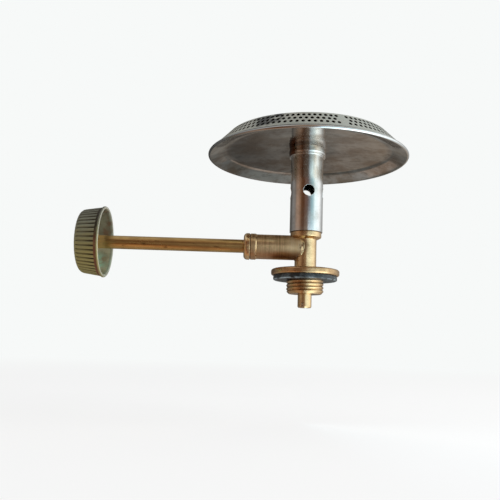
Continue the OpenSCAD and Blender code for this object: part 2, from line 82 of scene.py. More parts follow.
class Axis(Enum):
    """Line that a turned piece is centred on."""

    TUBE = "tube"
    ROD = "rod"

    def point(self, radius: float, angle: float, along: float) -> Vector:
        """Places a point of a turned piece.

        Args:
            radius: Distance from the axis.
            angle: Turn about the axis, in radians.
            along: Station along the axis.

        Returns:
            The point in metres.
        """
        across, rise = radius * math.cos(angle), radius * math.sin(angle)
        if self is Axis.TUBE:
            return Vector((across, rise, along)) * MM
        return Vector((-along, across, VALVE_Z + rise)) * MM


def smoothstep(low: float, high: float, value: float) -> float:
    """Soft step from 0 at low to 1 at high.

    Args:
        low: Value where the step starts.
        high: Value where the step ends.
        value: Value to place on the step.

    Returns:
        A share from 0 to 1.
    """
    share = min(1.0, max(0.0, (value - low) / (high - low)))
    return share * share * (3 - 2 * share)


def wobble(x: float, y: float, z: float) -> float:
    """Smooth noise from about -1 to 1 at a place, the same on every run."""
    return noise.noise(Vector((x, y, z)))


def wobble_round(angle: float, scale: float, level: float) -> float:
    """Smooth noise round a circle, which closes on itself."""
    return wobble(scale * math.cos(angle), scale * math.sin(angle), level)


def arc(centre: Point, radius: float, start: float, end: float, steps: int) -> list[Point]:
    """Points on a circle.

    Args:
        centre: Centre of the circle.
        radius: Its radius.
        start: First angle, in radians.
        end: Last angle, in radians.
        steps: Number of straight steps.

    Returns:
        The points from start to end.
    """
    turns = [start + (end - start) * i / steps for i in range(steps + 1)]
    return [(centre[0] + radius * math.cos(a), centre[1] + radius * math.sin(a)) for a in turns]


def fillet(before: Point, at: Corner, after: Point, steps: int = 8) -> list[Point]:
    """Rounds one corner of an outline.

    Args:
        before: Point before the corner.
        at: The corner, with its rounding as third value.
        after: Point after the corner.
        steps: Straight steps in the round.

    Returns:
        The corner itself if its rounding is 0, or else the points of the round.
    """
    tip = Vector(at[:2])
    if at[2] <= 0:
        return [at[:2]]
    u, v = (Vector(before[:2]) - tip).normalized(), (Vector(after[:2]) - tip).normalized()
    half = u.angle(v) / 2
    mid = tip + (u + v).normalized() * at[2] / math.sin(half)
    first = (tip + u * at[2] / math.tan(half) - mid).normalized()
    last = (tip + v * at[2] / math.tan(half) - mid).normalized()
    spread = [first * (steps - i) + last * i for i in range(steps + 1)]
    return [tuple(mid + at[2] * d.normalized()) for d in spread]


def rounded(corners: Sequence[Corner], closed: bool = True) -> list[Point]:
    """Outline through corners that are each rounded by their third value.

    Args:
        corners: Radius, station and rounding of each corner.
        closed: Whether the outline comes back to its first corner.

    Returns:
        The points of the outline.
    """
    count, points = len(corners), []
    for i, corner in enumerate(corners):
        if not closed and i in (0, count - 1):
            points.append(corner[:2])
        else:
            points += fillet(corners[i - 1], corner, corners[(i + 1) % count])
    return points


def spaced(path: Sequence[Point], step: float) -> list[Point]:
    """Path with points added so that no run is longer than step."""
    points = [path[0]]
    for a, b in zip(path, path[1:]):
        parts = max(1, math.ceil(math.dist(a, b) / step))
        points += [(a[0] + (b[0] - a[0]) * i / parts, a[1] + (b[1] - a[1]) * i / parts)
                   for i in range(1, parts + 1)]
    return points


def sheet(path: Sequence[Point], thickness: float) -> list[Point]:
    """Outline of a bent sheet along its middle line.

    Args:
        path: Points of the middle line.
        thickness: Thickness of the sheet.

    Returns:
        The closed outline round both sides.
    """
    runs = [(Vector(b) - Vector(a)).normalized() for a, b in zip(path, path[1:])]
    sides = []
    for i, point in enumerate(path):
        before, after = runs[max(i - 1, 0)], runs[min(i, len(runs) - 1)]
        mean = Vector((-before.y - after.y, before.x + after.x)).normalized()
        mean /= mean.dot(Vector((-after.y, after.x)))
        sides.append((Vector(point), mean * thickness / 2))
    return [tuple(p + s) for p, s in sides] + [tuple(p - s) for p, s in reversed(sides)]


def add_object(name: str, data: bpy.types.ID) -> bpy.types.Object:
    """Adds an object for a mesh, a lamp or a camera to the scene."""
    added = bpy.data.objects.new(name, data)
    bpy.context.scene.collection.objects.link(added)
    return added


@contextmanager
def edited(mesh: bpy.types.Mesh) -> Iterator[bmesh.types.BMesh]:
    """Opens a mesh for editing, and writes it back at the end.

    Args:
        mesh: The mesh.

    Yields:
        Its form for editing.
    """
    shell = bmesh.new()
    shell.from_mesh(mesh)
    yield shell
    shell.to_mesh(mesh)
    shell.free()


def make_object(name: str, points: Sequence[Vector], faces: Sequence[Sequence[int]]) -> bpy.types.Object:
    """Makes a mesh object with its faces turned outwards.

    Args:
        name: Name of the piece.
        points: Its points in metres.
        faces: Its faces, as numbers of points.

    Returns:
        The new object, linked into the scene.
    """
    mesh = bpy.data.meshes.new(name)
    mesh.from_pydata(points, [], faces)
    with edited(mesh) as shell:
        bmesh.ops.recalc_face_normals(shell, faces=shell.faces)
    return add_object(name, mesh)


def smooth(piece: bpy.types.Object, sharp_from: float) -> None:
    """Shades a piece smooth, and keeps edges sharp from an angle in degrees."""
    piece.data.shade_smooth()
    piece.data.set_sharp_from_angle(angle=math.radians(sharp_from))


def strip(low: Sequence[int], high: Sequence[int]) -> list[tuple[int, ...]]:
    """Faces between two closed rows of points.

    Args:
        low: Numbers of the first row's points, or of a single pole.
        high: Numbers of the second row's points, or of a single pole.

    Returns:
        The faces, with three corners at a pole.
    """
    count = max(len(low), len(high))
    faces = []
    for i in range(count):
        j = (i + 1) % count
        ring = (low[i % len(low)], low[j % len(low)], high[j % len(high)], high[i % len(high)])
        faces.append(tuple(dict.fromkeys(ring)))
    return faces


@dataclass
class Turning:
    """Closed mesh that is turned about an axis from an outline of radius and station."""

    outline: Sequence[Point]
    axis: Axis = Axis.TUBE
    segments: int = 128
    shape: Shape | None = None
    sharp_from: float = 32

    def build(self, name: str) -> bpy.types.Object:
        """Turns the outline into a mesh.

        Args:
            name: Name of the piece.

        Returns:
            The new object.
        """
        points: list[Vector] = []
        rows: list[list[int]] = []
        for radius, along in self.outline:
            row = []
            for i in range(1 if radius < POLE else self.segments):
                angle = math.tau * i / self.segments
                r, s = self.shape(radius, along, angle) if self.shape else (radius, along)
                row.append(len(points))
                points.append(self.axis.point(r, angle, s))
            rows.append(row)
        on_axis = len(rows[0]) == len(rows[-1]) == 1
        pairs = list(zip(rows, rows[1:])) + ([] if on_axis else [(rows[-1], rows[0])])
        piece = make_object(name, points, [face for low, high in pairs for face in strip(low, high)])
        smooth(piece, self.sharp_from)
        return piece


@dataclass
class Bead:
    """Closed round bead along a path on a turned body about the tube's axis."""

    path: Sequence[Vector]
    radii: Sequence[float]
    sides: int = 10
    sharp_from: float = 80

    def build(self, name: str) -> bpy.types.Object:
        """Sweeps the bead.

        Args:
            name: Name of the piece.

        Returns:
            The new object.
        """
        count, points, rows = len(self.path), [], []
        for i, at in enumerate(self.path):
            run = (self.path[(i + 1) % count] - self.path[i - 1]).normalized()
            out = Vector((at.x, at.y, 0)).normalized()
            out = (out - run * out.dot(run)).normalized()
            across = run.cross(out)
            rows.append(range(len(points), len(points) + self.sides))
            for k in range(self.sides):
                turn = math.tau * k / self.sides
                side = out * math.cos(turn) + across * math.sin(turn)
                points.append((at + side * self.radii[i]) * MM)
        faces = [face for low, high in zip(rows, rows[1:] + rows[:1]) for face in strip(low, high)]
        piece = make_object(name, points, faces)
        smooth(piece, self.sharp_from)
        return piece


class NodeTree:
    """Shader nodes of a material or a world, with short calls to add and link them."""

    def __init__(self, owner: bpy.types.Material | bpy.types.World) -> None:
        """Empties the owner's node tree."""
        owner.use_nodes = True
        self.tree = owner.node_tree
        self.tree.nodes.clear()

    def add(self, kind: str, settings: dict[str, object] | None = None, **inputs: object) -> bpy.types.Node:
        """Adds a node.

        Args:
            kind: Type of the node.
            settings: Properties of the node.
            inputs: Sockets to link, or constants to set, by the socket's name.

        Returns:
            The new node.
        """
        node = self.tree.nodes.new(kind)
        for key, value in (settings or {}).items():
            setattr(node, key, value)
        for key, value in inputs.items():
            self.feed(node.inputs[key], value)
        return node

    def feed(self, socket: Socket, value: object) -> None:
        """Links a socket to another, or sets its constant."""
        if isinstance(value, Socket):
            self.tree.links.new(value, socket)
        elif isinstance(value, tuple) and len(value) == 3 and socket.type == "RGBA":
            socket.default_value = (*value, 1)
        else:
            socket.default_value = value

    def join(self, kind: str, settings: dict[str, object], *values: object) -> bpy.types.Node:
        """Adds a node whose first sockets take values in order.

        Args:
            kind: Type of the node.
            settings: Properties of the node.
            values: Sockets to link, or constants to set.

        Returns:
            The new node.
        """
        node = self.add(kind, settings)
        for socket, value in zip(node.inputs, values):
            self.feed(socket, value)
        return node

    def calc(self, operation: str, a: Value, b: Value = 0.0) -> Socket:
        """Result of a sum on numbers."""
        return self.join("ShaderNodeMath", {"operation": operation}, a, b).outputs[0]

    def most(self, *shares: Value) -> Socket:
        """Largest of several shares."""
        return reduce(partial(self.calc, "MAXIMUM"), shares)

    def blend(self, share: Value, first: Socket, second: Socket) -> Socket:
        """Mix of two shaders."""
        return self.join("ShaderNodeMixShader", {}, share, first, second).outputs["Shader"]


class NodeSheet(NodeTree):
    """Nodes of one finish, with short calls for what the finishes share."""

    def __init__(self, name: str) -> None:
        """Starts a material with a shader, its output and the place on the piece in millimetres."""
        self.material = bpy.data.materials.new(name)
        super().__init__(self.material)
        self.colour: object = (1.0, 1.0, 1.0)
        self.shader = self.add("ShaderNodeBsdfPrincipled")
        self.output = self.add("ShaderNodeOutputMaterial", Surface=self.shader.outputs["BSDF"])
        place = self.add("ShaderNodeTexCoord").outputs["Object"]
        self.place = self.vector("MULTIPLY", place, (1 / MM,) * 3)
        self.x, self.y, self.z = self.add("ShaderNodeSeparateXYZ", Vector=self.place).outputs

    def vector(self, operation: str, a: object, b: object) -> Socket:
        """Result of a vector sum, product or distance."""
        node = self.join("ShaderNodeVectorMath", {"operation": operation}, a, b)
        return node.outputs["Value" if operation == "DISTANCE" else "Vector"]

    def span(self, value: Value, low: float, high: float, start: float = 0.0, end: float = 1.0) -> Socket:
        """Soft step of a value, from start at low to end at high."""
        node = self.add("ShaderNodeMapRange", {"interpolation_type": "SMOOTHSTEP"}, Value=value)
        for key, number in {"From Min": low, "From Max": high, "To Min": start, "To Max": end}.items():
            node.inputs[key].default_value = number
        return node.outputs["Result"]

    def window(self, value: Value, low: float, high: float, soft: float) -> Socket:
        """Share that is 1 between two values and falls off softly outside them."""
        rise = self.span(value, low - soft, low + soft)
        return self.times(rise, self.span(value, high - soft, high + soft, 1.0, 0.0))

    def times(self, *shares: Value) -> Socket:
        """Product of several shares."""
        return reduce(partial(self.calc, "MULTIPLY"), shares)

    def ragged(self, value: Value, grain: Socket, reach: float) -> Socket:
        """Value that a grain pushes up and down by half of reach."""
        return self.calc("ADD", value, self.times(self.calc("SUBTRACT", grain, 0.5), reach))

    def tint(self, share: Value, low: object, high: object) -> Socket:
        """Mix of two colours."""
        node = self.add("ShaderNodeMix", {"data_type": "RGBA"})
        for index, value in ((0, share), (6, low), (7, high)):
            self.feed(node.inputs[index], value)
        return node.outputs[2]

    def coat(self, colour: object, *shares: Value) -> None:
        """Lays a colour over the one so far, by the product of shares."""
        self.colour = self.tint(self.times(*shares), self.colour, colour)

    def grain(self, size: float, detail: float = 3.0, stretch: Place = (1, 1, 1),
              shift: float = 0.0) -> Socket:
        """Noise from 0 to 1.

        Args:
            size: Size of its features.
            detail: Number of finer layers.
            stretch: How much finer it is along each axis.
            shift: Step that sets it apart from another grain of the same size.

        Returns:
            The noise value.
        """
        place = self.vector("MULTIPLY", self.place, tuple(s / size for s in stretch))
        place = self.vector("ADD", place, (shift, shift * 2, shift * 3))
        node = self.add("ShaderNodeTexNoise", Vector=place, Scale=1.0, Detail=detail, Roughness=0.6)
        return node.outputs["Fac"]

    def radius(self, axis: Axis) -> Socket:
        """Distance from an axis."""
        flat = (1, 1, 0) if axis is Axis.TUBE else (0, 1, 1)
        centre = (0, 0, 0) if axis is Axis.TUBE else (0, 0, VALVE_Z)
        return self.vector("DISTANCE", self.vector("MULTIPLY", self.place, flat), centre)

    def near(self, place: Place, reach: float, soft: float) -> Socket:
        """Share that falls from 1 at a place to 0 beyond reach, with a ragged edge."""
        away = self.ragged(self.vector("DISTANCE", self.place, place), self.grain(reach / 3, 4), reach)
        return self.span(away, reach - soft, reach + soft, 1.0, 0.0)

    def rough(self, grain: Socket, gloss: Point, share: Value = 0.0, extra: float = 0.0) -> Socket:
        """Roughness that follows a grain.

        Args:
            grain: The grain.
            gloss: Lowest and highest roughness.
            share: Where some roughness is added.
            extra: How much is added there.

        Returns:
            The roughness.
        """
        level = self.span(grain, 0.3, 0.7, *gloss)
        return self.calc("ADD", level, self.times(share, extra)) if extra else level

    def relief(self, *layers: tuple[Socket, float]) -> Socket:
        """Bumped normal from layers of height, each with its depth in millimetres."""
        normal = None
        for height, depth in layers:
            bump = self.add("ShaderNodeBump", Height=height, Distance=depth * MM, Strength=1.0)
            if normal is not None:
                self.feed(bump.inputs["Normal"], normal)
            normal = bump.outputs["Normal"]
        return normal

    def close(self, roughness: Value, metallic: Value, normal: Socket) -> bpy.types.Material:
        """Feeds the shader with the colour so far and the rest.

        Args:
            roughness: Roughness.
            metallic: Share of metal.
            normal: Bumped normal.

        Returns:
            The finished material.
        """
        for key, value in (("Base Color", self.colour), ("Roughness", roughness),
                           ("Metallic", metallic), ("Normal", normal)):
            self.feed(self.shader.inputs[key], value)
        return self.material


@dataclass(frozen=True)
class Finish(ABC):
    """Finish of a surface, with the material slot of the record that it shows."""

    made: ClassVar[dict[str, bpy.types.Material]] = {}

    name: str
    slot: str

    def material(self) -> bpy.types.Material:
        """The finish's material, made once."""
        if self.name not in self.made:
            self.made[self.name] = self.paint(NodeSheet(self.name))
        return self.made[self.name]

    @abstractmethod
    def paint(self, s: NodeSheet) -> bpy.types.Material:
        """Lays out the finish's nodes."""


@dataclass(frozen=True)
class TurnedBrass(Finish):
    """Brass from a lathe: fine rings, worn high spots and brown tarnish."""

    axis: Axis = Axis.TUBE
    clean: Colour = (0.82, 0.59, 0.33)
    worn: Colour = (0.62, 0.415, 0.225)
    dark: Colour = (0.15, 0.075, 0.035)
    gloss: Point = (0.18, 0.32)
    ring: float = 0.28
    seam_at: Place = (-1.6, -4.4, VALVE_Z + 0.6)
    seam_reach: float = 2.6
    foot_z: Point = (4.4, 5.1)
    foot_r: Point = (5.6, 7.2)
    tube_seat_shade_z: Point = (20.75, 21.3)

    def paint(self, s: NodeSheet) -> bpy.types.Material:
        """Lays out turned rings, tarnish clouds, flux stain at the seam, a dark ring at the riser's foot,
        painted shade where the tube sits on the collar, and pits.
        """
        cloud, fleck = s.grain(7, 5), s.grain(0.9, 3, shift=3)
        rings = s.grain(self.ring, 2, (0.02, 0.02, 1) if self.axis is Axis.TUBE else (1, 0.02, 0.02))
        s.colour = s.tint(s.span(cloud, 0.36, 0.66), self.clean, self.worn)
        s.coat(self.worn, s.span(rings, 0.4, 0.75), 0.3)
        s.coat(self.dark, s.span(fleck, 0.6, 0.74), 0.55)
        seam = s.near(self.seam_at, self.seam_reach, 1.0)
        foot = s.times(s.window(s.z, *self.foot_z, 0.35), s.span(s.radius(Axis.TUBE), *self.foot_r, 1, 0))
        # painted shade: dark band where the tube's edge sits on the collar
        lip = s.window(s.z, *self.tube_seat_shade_z, 0.12)
        # stain holds the flux stain at the seam, the dark ring at the riser's foot and the painted shade at
        # the tube's seat
        stain = s.most(s.times(seam, 0.55), s.times(foot, 0.6), s.times(lip, 0.85))
        s.coat(self.dark, stain)
        normal = s.relief((rings, 0.012), (fleck, 0.012), (s.grain(2.5, 2), 0.03))
        return s.close(s.rough(cloud, self.gloss, stain, 0.2), 1.0, normal)


@dataclass(frozen=True)
class BarrelBrass(TurnedBrass):
    """Turned brass whose end was filed matt beside the braze."""

    filed: Colour = (0.7, 0.54, 0.34)
    shade_red: Colour = (0.36, 0.18, 0.1)
    seam_at: Place = (-1.4, -4.6, VALVE_Z - 0.4)
    seam_reach: float = 2.0
    patch_x: Point = (-9.5, -5.5)
    shade_red_z: Point = (VALVE_Z - 5, VALVE_Z - 1)

    def paint(self, s: NodeSheet) -> bpy.types.Material:
        """Lays out rings, the filed patch, a painted red-brown shade towards the bottom and the dark seam.
        """
        cloud, fleck = s.grain(6, 5), s.grain(0.8, 3, shift=3)
        rings = s.grain(self.ring, 1.5, (1, 0.02, 0.02))
        strokes = s.grain(0.35, 3, (1, 0.06, 0.06), 7)
        patch = s.span(s.ragged(s.x, s.grain(3, 3), 6), *self.patch_x)
        s.colour = s.tint(s.span(cloud, 0.34, 0.66), self.clean, self.worn)
        s.coat(self.dark, s.span(rings, 0.42, 0.7), 0.45)
        s.coat(self.dark, s.span(fleck, 0.6, 0.76), 0.5)
        s.coat(s.tint(s.span(strokes, 0.35, 0.7), self.filed, self.worn), patch, 0.75)
        # painted shade: red-brown darkening towards the barrel's bottom
        s.coat(self.shade_red, s.span(s.z, *self.shade_red_z, 0.65, 0))
        seam = s.near(self.seam_at, self.seam_reach, 0.8)
        s.coat(self.dark, seam, s.span(s.grain(0.7, 2, shift=5), 0.42, 0.6))
        normal = s.relief((rings, 0.02), (s.times(strokes, patch), 0.035), (fleck, 0.012))
        return s.close(s.rough(cloud, self.gloss, patch, 0.2), 1.0, normal)


@dataclass(frozen=True)
class DrawnBrass(Finish):
    """Drawn brass rod with long streaks and brown tarnish, dull where the knob shelters it."""

    clean: Colour = (0.7, 0.48, 0.2)
    brown: Colour = (0.45, 0.285, 0.115)
    dark: Colour = (0.12, 0.058, 0.018)
    sheltered: Colour = (0.5, 0.31, 0.1)
    gloss: Point = (0.24, 0.4)
    shelter_x: Point = (-89.0, -86.0)

    def paint(self, s: NodeSheet) -> bpy.types.Material:
        """Lays out streaks along the rod, tarnish clouds, the sheltered end and small dark spots."""
        streaks = s.grain(0.7, 3, (0.03, 1, 1))
        cloud = s.grain(9, 4, (0.5, 1, 1))
        spots = s.grain(1.6, 3, (0.35, 1, 1), 4)
        s.colour = s.tint(s.span(cloud, 0.36, 0.66), self.clean, self.brown)
        s.coat(self.brown, s.span(streaks, 0.42, 0.72), 0.65)
        shelter = s.span(s.ragged(s.x, cloud, 4), *self.shelter_x, 1, 0)
        s.coat(self.sheltered, shelter, 0.8)
        s.coat(self.dark, s.span(spots, 0.58, 0.72), 0.6)
        metal = s.calc("SUBTRACT", 1.0, s.times(shelter, 0.75))
        normal = s.relief((streaks, 0.012), (spots, 0.012))
        return s.close(s.rough(cloud, self.gloss, shelter, 0.15), metal, normal)


@dataclass(frozen=True)
class KnobPatina(Finish):
    """Pressed brass under an olive patina, worn on the ribs, with verdigris inside."""

    olive: Colour = (0.375, 0.335, 0.135)
    grey: Colour = (0.25, 0.255, 0.18)
    drab: Colour = (0.55, 0.5, 0.35)
    umber: Colour = (0.36, 0.29, 0.19)
    far_bead_shade: Colour = (0.36, 0.38, 0.3)
    dark: Colour = (0.035, 0.026, 0.012)
    # colour of the painted shade towards the top
    top: Colour = (0.12, 0.115, 0.085)
    rust: Colour = (0.22, 0.09, 0.045)
    green: Colour = (0.4, 0.74, 0.56)
    # pale of the worn bead edge and of its painted highlight
    pale: Colour = (0.8, 0.78, 0.66)
    gloss: Point = (0.36, 0.55)
    rim_s: float = 87.1
    bead_r: float = 0.65
    body_r: float = 15.15
    slope: float = 0.143
    wall: float = 0.9
    groove: float = 0.3
    groove_s: Point = (1.4, 1.9)
    trough_s: Point = (0.75, 2.0)
    round_s: float = 8.35
    round_r: float = 2.45
    end_s: Point = (10.2, 10.5)
    dish_s: Point = (8.1, 8.4)
    dish_r: Point = (5.6, 6.6)

    def skin(self, s: NodeSheet, along: Socket) -> Socket:
        """Radius of the plain outside at a distance from the rim, with the rounded end."""
        cone = s.calc("SUBTRACT", self.body_r, s.times(s.calc("SUBTRACT", along, self.bead_r), self.slope))
        turned = s.calc("MINIMUM", s.most(s.calc("SUBTRACT", along, self.round_s), 0), self.round_r)
        rise = s.calc("SQRT", s.calc("SUBTRACT", self.round_r ** 2, s.times(turned, turned)))
        return s.calc("SUBTRACT", cone, s.calc("SUBTRACT", self.round_r, rise))

    def paint(self, s: NodeSheet) -> bpy.types.Material:
        """Lays out the ribs' wear, dirt and painted shade in the grooves, a rusty line by the bead,
        verdigris, painted shade towards the top and on the bead's far side, and a pale worn edge with a
        painted highlight on the bead's near side.
        """
        along = s.calc("SUBTRACT", s.times(s.x, -1), self.rim_s)
        up = s.calc("SUBTRACT", s.z, VALVE_Z)
        radius = s.radius(Axis.ROD)
        depth = s.calc("SUBTRACT", self.skin(s, along), radius)
        outside = s.span(depth, self.wall * 0.5, self.wall * 0.75, 1, 0)
        dish = s.times(s.span(along, *self.dish_s), s.span(radius, *self.dish_r, 1, 0))
        inside = s.calc("SUBTRACT", 1.0, s.most(outside, s.span(along, *self.end_s), dish))
        cloud, fine = s.grain(4, 5), s.grain(0.7, 4, shift=2)
        s.colour = s.tint(s.span(s.ragged(up, cloud, 14), -8, 8), self.olive, self.grey)
        # painted shade: the outside darker towards the top
        s.coat(self.top, s.span(up, 3, 12), 0.75)
        # dirt and painted shade in the grooves, strongest near the rim
        groove = s.times(s.span(depth, 0.03, self.groove * 0.8), outside, s.span(along, *self.groove_s))
        fading = s.most(s.span(along, 2.2, 7.5, 0.95, 0.5), s.span(along, 7.5, 9.5, 0, 0.85))
        s.coat(self.dark, groove, fading, s.span(along, 10.0, 10.3, 1, 0))
        trough = s.tint(s.span(up, -3, 4), self.rust, self.dark)
        s.coat(trough, s.window(along, *self.trough_s, 0.25), outside, s.span(cloud, 0.3, 0.5, 0.6, 1.0))
        hollow = s.tint(s.span(s.grain(5, 4, shift=4), 0.38, 0.62), self.drab, self.umber)
        # painted shade: the hollow darker towards its upper side
        s.coat(s.tint(s.span(up, -1, 6, 0, 0.52), hollow, self.top), inside, 0.92)
        # painted shadow on the bead's far side
        s.coat(self.far_bead_shade, s.span(along, 0.9, 1.3, 1, 0), s.span(s.y, -3, 4), 0.8)
        # pale worn edge inside the bead, with a painted highlight on its near side
        lip = s.times(s.span(along, 0.06, 0.26, 1, 0), s.span(s.y, -1, 6, 1, 0.35))
        s.coat(self.pale, lip, s.span(fine, 0.3, 0.6, 1, 0.6))
        low = s.times(s.span(up, -8, -1, 1, 0.05), s.span(along, 1.5, 5.5, 0.25, 1))
        bloom = s.times(s.span(s.grain(3.6, 5, shift=6), 0.36, 0.56), inside, low)
        s.coat(self.green, bloom, 0.9)
        s.coat(self.rust, inside, s.span(up, 1, 5), s.span(s.grain(4, 3, shift=9), 0.5, 0.66), 0.6)
        s.coat(self.dark, s.span(fine, 0.6, 0.75), 0.4)
        metal = s.calc("SUBTRACT", 0.5, s.times(s.most(inside, bloom), 0.45))
        normal = s.relief((fine, 0.03), (cloud, 0.05), (s.times(bloom, fine), 0.06))
        return s.close(s.rough(cloud, self.gloss, bloom, 0.3), metal, normal)


@dataclass(frozen=True)
class Plating(Finish):
    """Bright plating with fine scratches, a brown bloom near the head and a few pits."""

    bright: Colour = (0.78, 0.775, 0.765)
    dull: Colour = (0.56, 0.54, 0.51)
    heat: Colour = (0.42, 0.31, 0.22)
    brown_reflection: Colour = (0.16, 0.06, 0.03)
    gloss: Point = (0.07, 0.2)
    heat_z: Point = (47.0, 60.0)
    brown_reflection_at: Place = (-7.4, -3.2, 57.0)
    brown_reflection_reach: float = 3.4
    brown_reflection_z: Point = (54.6, 55.2)

    def paint(self, s: NodeSheet) -> bpy.types.Material:
        """Lays out scratches round and along the tube, dull clouds, the heat bloom and a painted dark
        red-brown reflection on the ferrule's left front.
        """
        cloud, pits = s.grain(8, 4), s.grain(0.5, 2, shift=8)
        round_marks = s.grain(0.5, 2, (0.05, 0.05, 1))
        long_marks = s.grain(0.35, 2, (1, 1, 0.04), 5)
        s.colour = s.tint(s.span(cloud, 0.4, 0.72), self.bright, self.dull)
        s.coat(self.heat, s.span(s.z, *self.heat_z), s.span(s.grain(5, 4, shift=2), 0.3, 0.7), 0.4)
        s.coat(self.heat, s.span(pits, 0.68, 0.78), 0.5)
        # painted reflection: dark red-brown patch on the ferrule's left front
        s.coat(self.brown_reflection, s.near(self.brown_reflection_at, self.brown_reflection_reach, 1.4), s.span(s.z, *self.brown_reflection_z))
        scratch = s.most(s.span(round_marks, 0.58, 0.75), s.span(long_marks, 0.6, 0.76))
        rough = s.calc("ADD", s.span(cloud, 0.32, 0.72, *self.gloss), s.times(scratch, 0.1))
        normal = s.relief((round_marks, 0.003), (long_marks, 0.003), (s.grain(4, 1), 0.012), (pits, 0.004))
        return s.close(rough, 1.0, normal)


@dataclass(frozen=True)
class PanSteel(Finish):
    """Pressed steel sheet, rubbed shiny, with brown heat stain and a hem with a painted highlight at one
    side.
    """

    base: Colour = (0.52, 0.5, 0.47)
    stain: Colour = (0.27, 0.2, 0.14)
    soot: Colour = (0.09, 0.075, 0.06)
    # hem colours: dull, and bright for the painted highlight
    bright: Colour = (0.74, 0.74, 0.73)
    dull: Colour = (0.36, 0.37, 0.38)
    gloss: Point = (0.06, 0.14)
    tube_soot_r: Point = (9.0, 17.0)
    bend_r: Point = (35.0, 36.2)
    hem_r: Point = (42.95, 43.4)
    hem_highlight_x: Point = (-34.0, 2.0)

    def paint(self, s: NodeSheet) -> bpy.types.Material:
        """Lays out heat stain, soot near the tube and in the bend, and the hem, dull towards -X and with a
        painted highlight towards +X.
        """
        radius = s.radius(Axis.TUBE)
        cloud, blotch, fine = s.grain(16, 5), s.grain(5, 4, shift=3), s.grain(0.8, 3, shift=5)
        streaks = s.grain(2.0, 5, (0.55, 1, 0.55), 9)
        s.colour = s.tint(s.times(s.span(cloud, 0.38, 0.66), 0.9), self.base, self.stain)
        s.coat(self.stain, s.span(blotch, 0.48, 0.7), 0.6)
        s.coat(self.soot, s.span(streaks, 0.5, 0.72), 0.4)
        s.coat(self.soot, s.span(radius, *self.tube_soot_r, 1, 0), s.span(blotch, 0.35, 0.65), 0.5)
        s.coat(self.soot, s.window(radius, *self.bend_r, 0.8), s.span(cloud, 0.35, 0.6), 0.4)
        # painted highlight: the hem turns bright towards +X
        hem_highlight = s.times(s.span(blotch, 0.2, 0.5, 0.5, 1), s.span(s.x, *self.hem_highlight_x))
        s.coat(s.tint(hem_highlight, self.dull, self.bright), s.span(radius, *self.hem_r))
        normal = s.relief((streaks, 0.002), (fine, 0.001), (s.grain(9, 1, shift=1), 0.015))
        return s.close(s.rough(cloud, self.gloss, s.span(fine, 0.5, 0.7), 0.04), 1.0, normal)


@dataclass(frozen=True)
class CapSteel(Finish):
    """Pressed steel cap, dull, with dark stains from use, and dirt with painted shade in the gap under the
    hem's lip.
    """

    base: Colour = (0.48, 0.49, 0.45)
    pale: Colour = (0.6, 0.61, 0.57)
    # dark of the stains, also of the painted shade in the gap under the hem's lip
    stain: Colour = (0.06, 0.06, 0.065)
    straw: Colour = (0.34, 0.26, 0.16)
    gloss: Point = (0.26, 0.42)
    bloom_r: Point = (4.0, 30.0)
    stain_at: Place = (-18.5, -32.5, 61.0)
    stain_reach: float = 6.5
    gap_dirt_and_shade_r: Point = (42.1, 42.6)
    gap_dirt_and_shade_x: Point = (4.0, 24.0)

    def paint(self, s: NodeSheet) -> bpy.types.Material:
        """Lays out the dull sheet, a straw heat bloom on the dome, a dark stain, and dirt with painted
        shade in the crevice under the hem's lip, darker towards -X.
        """
        radius = s.radius(Axis.TUBE)
        cloud, fine, blotch = s.grain(10, 5), s.grain(0.6, 3, shift=2), s.grain(3.5, 5, shift=4)
        s.colour = s.tint(s.span(cloud, 0.35, 0.68), self.base, self.pale)
        s.coat(self.straw, s.span(fine, 0.5, 0.75), 0.35)
        s.coat(self.straw, s.span(radius, *self.bloom_r, 0.75, 0.15), s.span(cloud, 0.34, 0.66))
        spot = s.times(s.near(self.stain_at, self.stain_reach, 1.6), s.span(blotch, 0.36, 0.56))
        s.coat(self.stain, s.most(s.times(spot, 0.9), s.times(s.span(blotch, 0.66, 0.76), 0.45)))
        # dirt and painted shade in the gap under the hem's lip, strongest towards -X
        gap_dirt_and_shade = s.times(s.span(radius, *self.gap_dirt_and_shade_r), s.span(blotch, 0.25, 0.45, 0.6, 1))
        s.coat(self.stain, gap_dirt_and_shade, s.span(s.x, *self.gap_dirt_and_shade_x, 1, 0.4), 0.92)
        normal = s.relief((fine, 0.008), (blotch, 0.02))
        return s.close(s.rough(cloud, self.gloss, spot, 0.15), 1.0, normal)


@dataclass(frozen=True)
class Soot(Finish):
    """Sooted inside of the head."""

    black: Colour = (0.012, 0.011, 0.01)
    brown: Colour = (0.045, 0.034, 0.025)
    gloss: Point = (0.75, 0.95)

    def paint(self, s: NodeSheet) -> bpy.types.Material:
        """Lays out black soot over brown scale."""
        cloud, crumb = s.grain(4, 4), s.grain(0.3, 3, shift=2)
        s.colour = s.tint(s.span(cloud, 0.35, 0.65), self.black, self.brown)
        return s.close(s.rough(crumb, self.gloss), 0.0, s.relief((crumb, 0.03)))


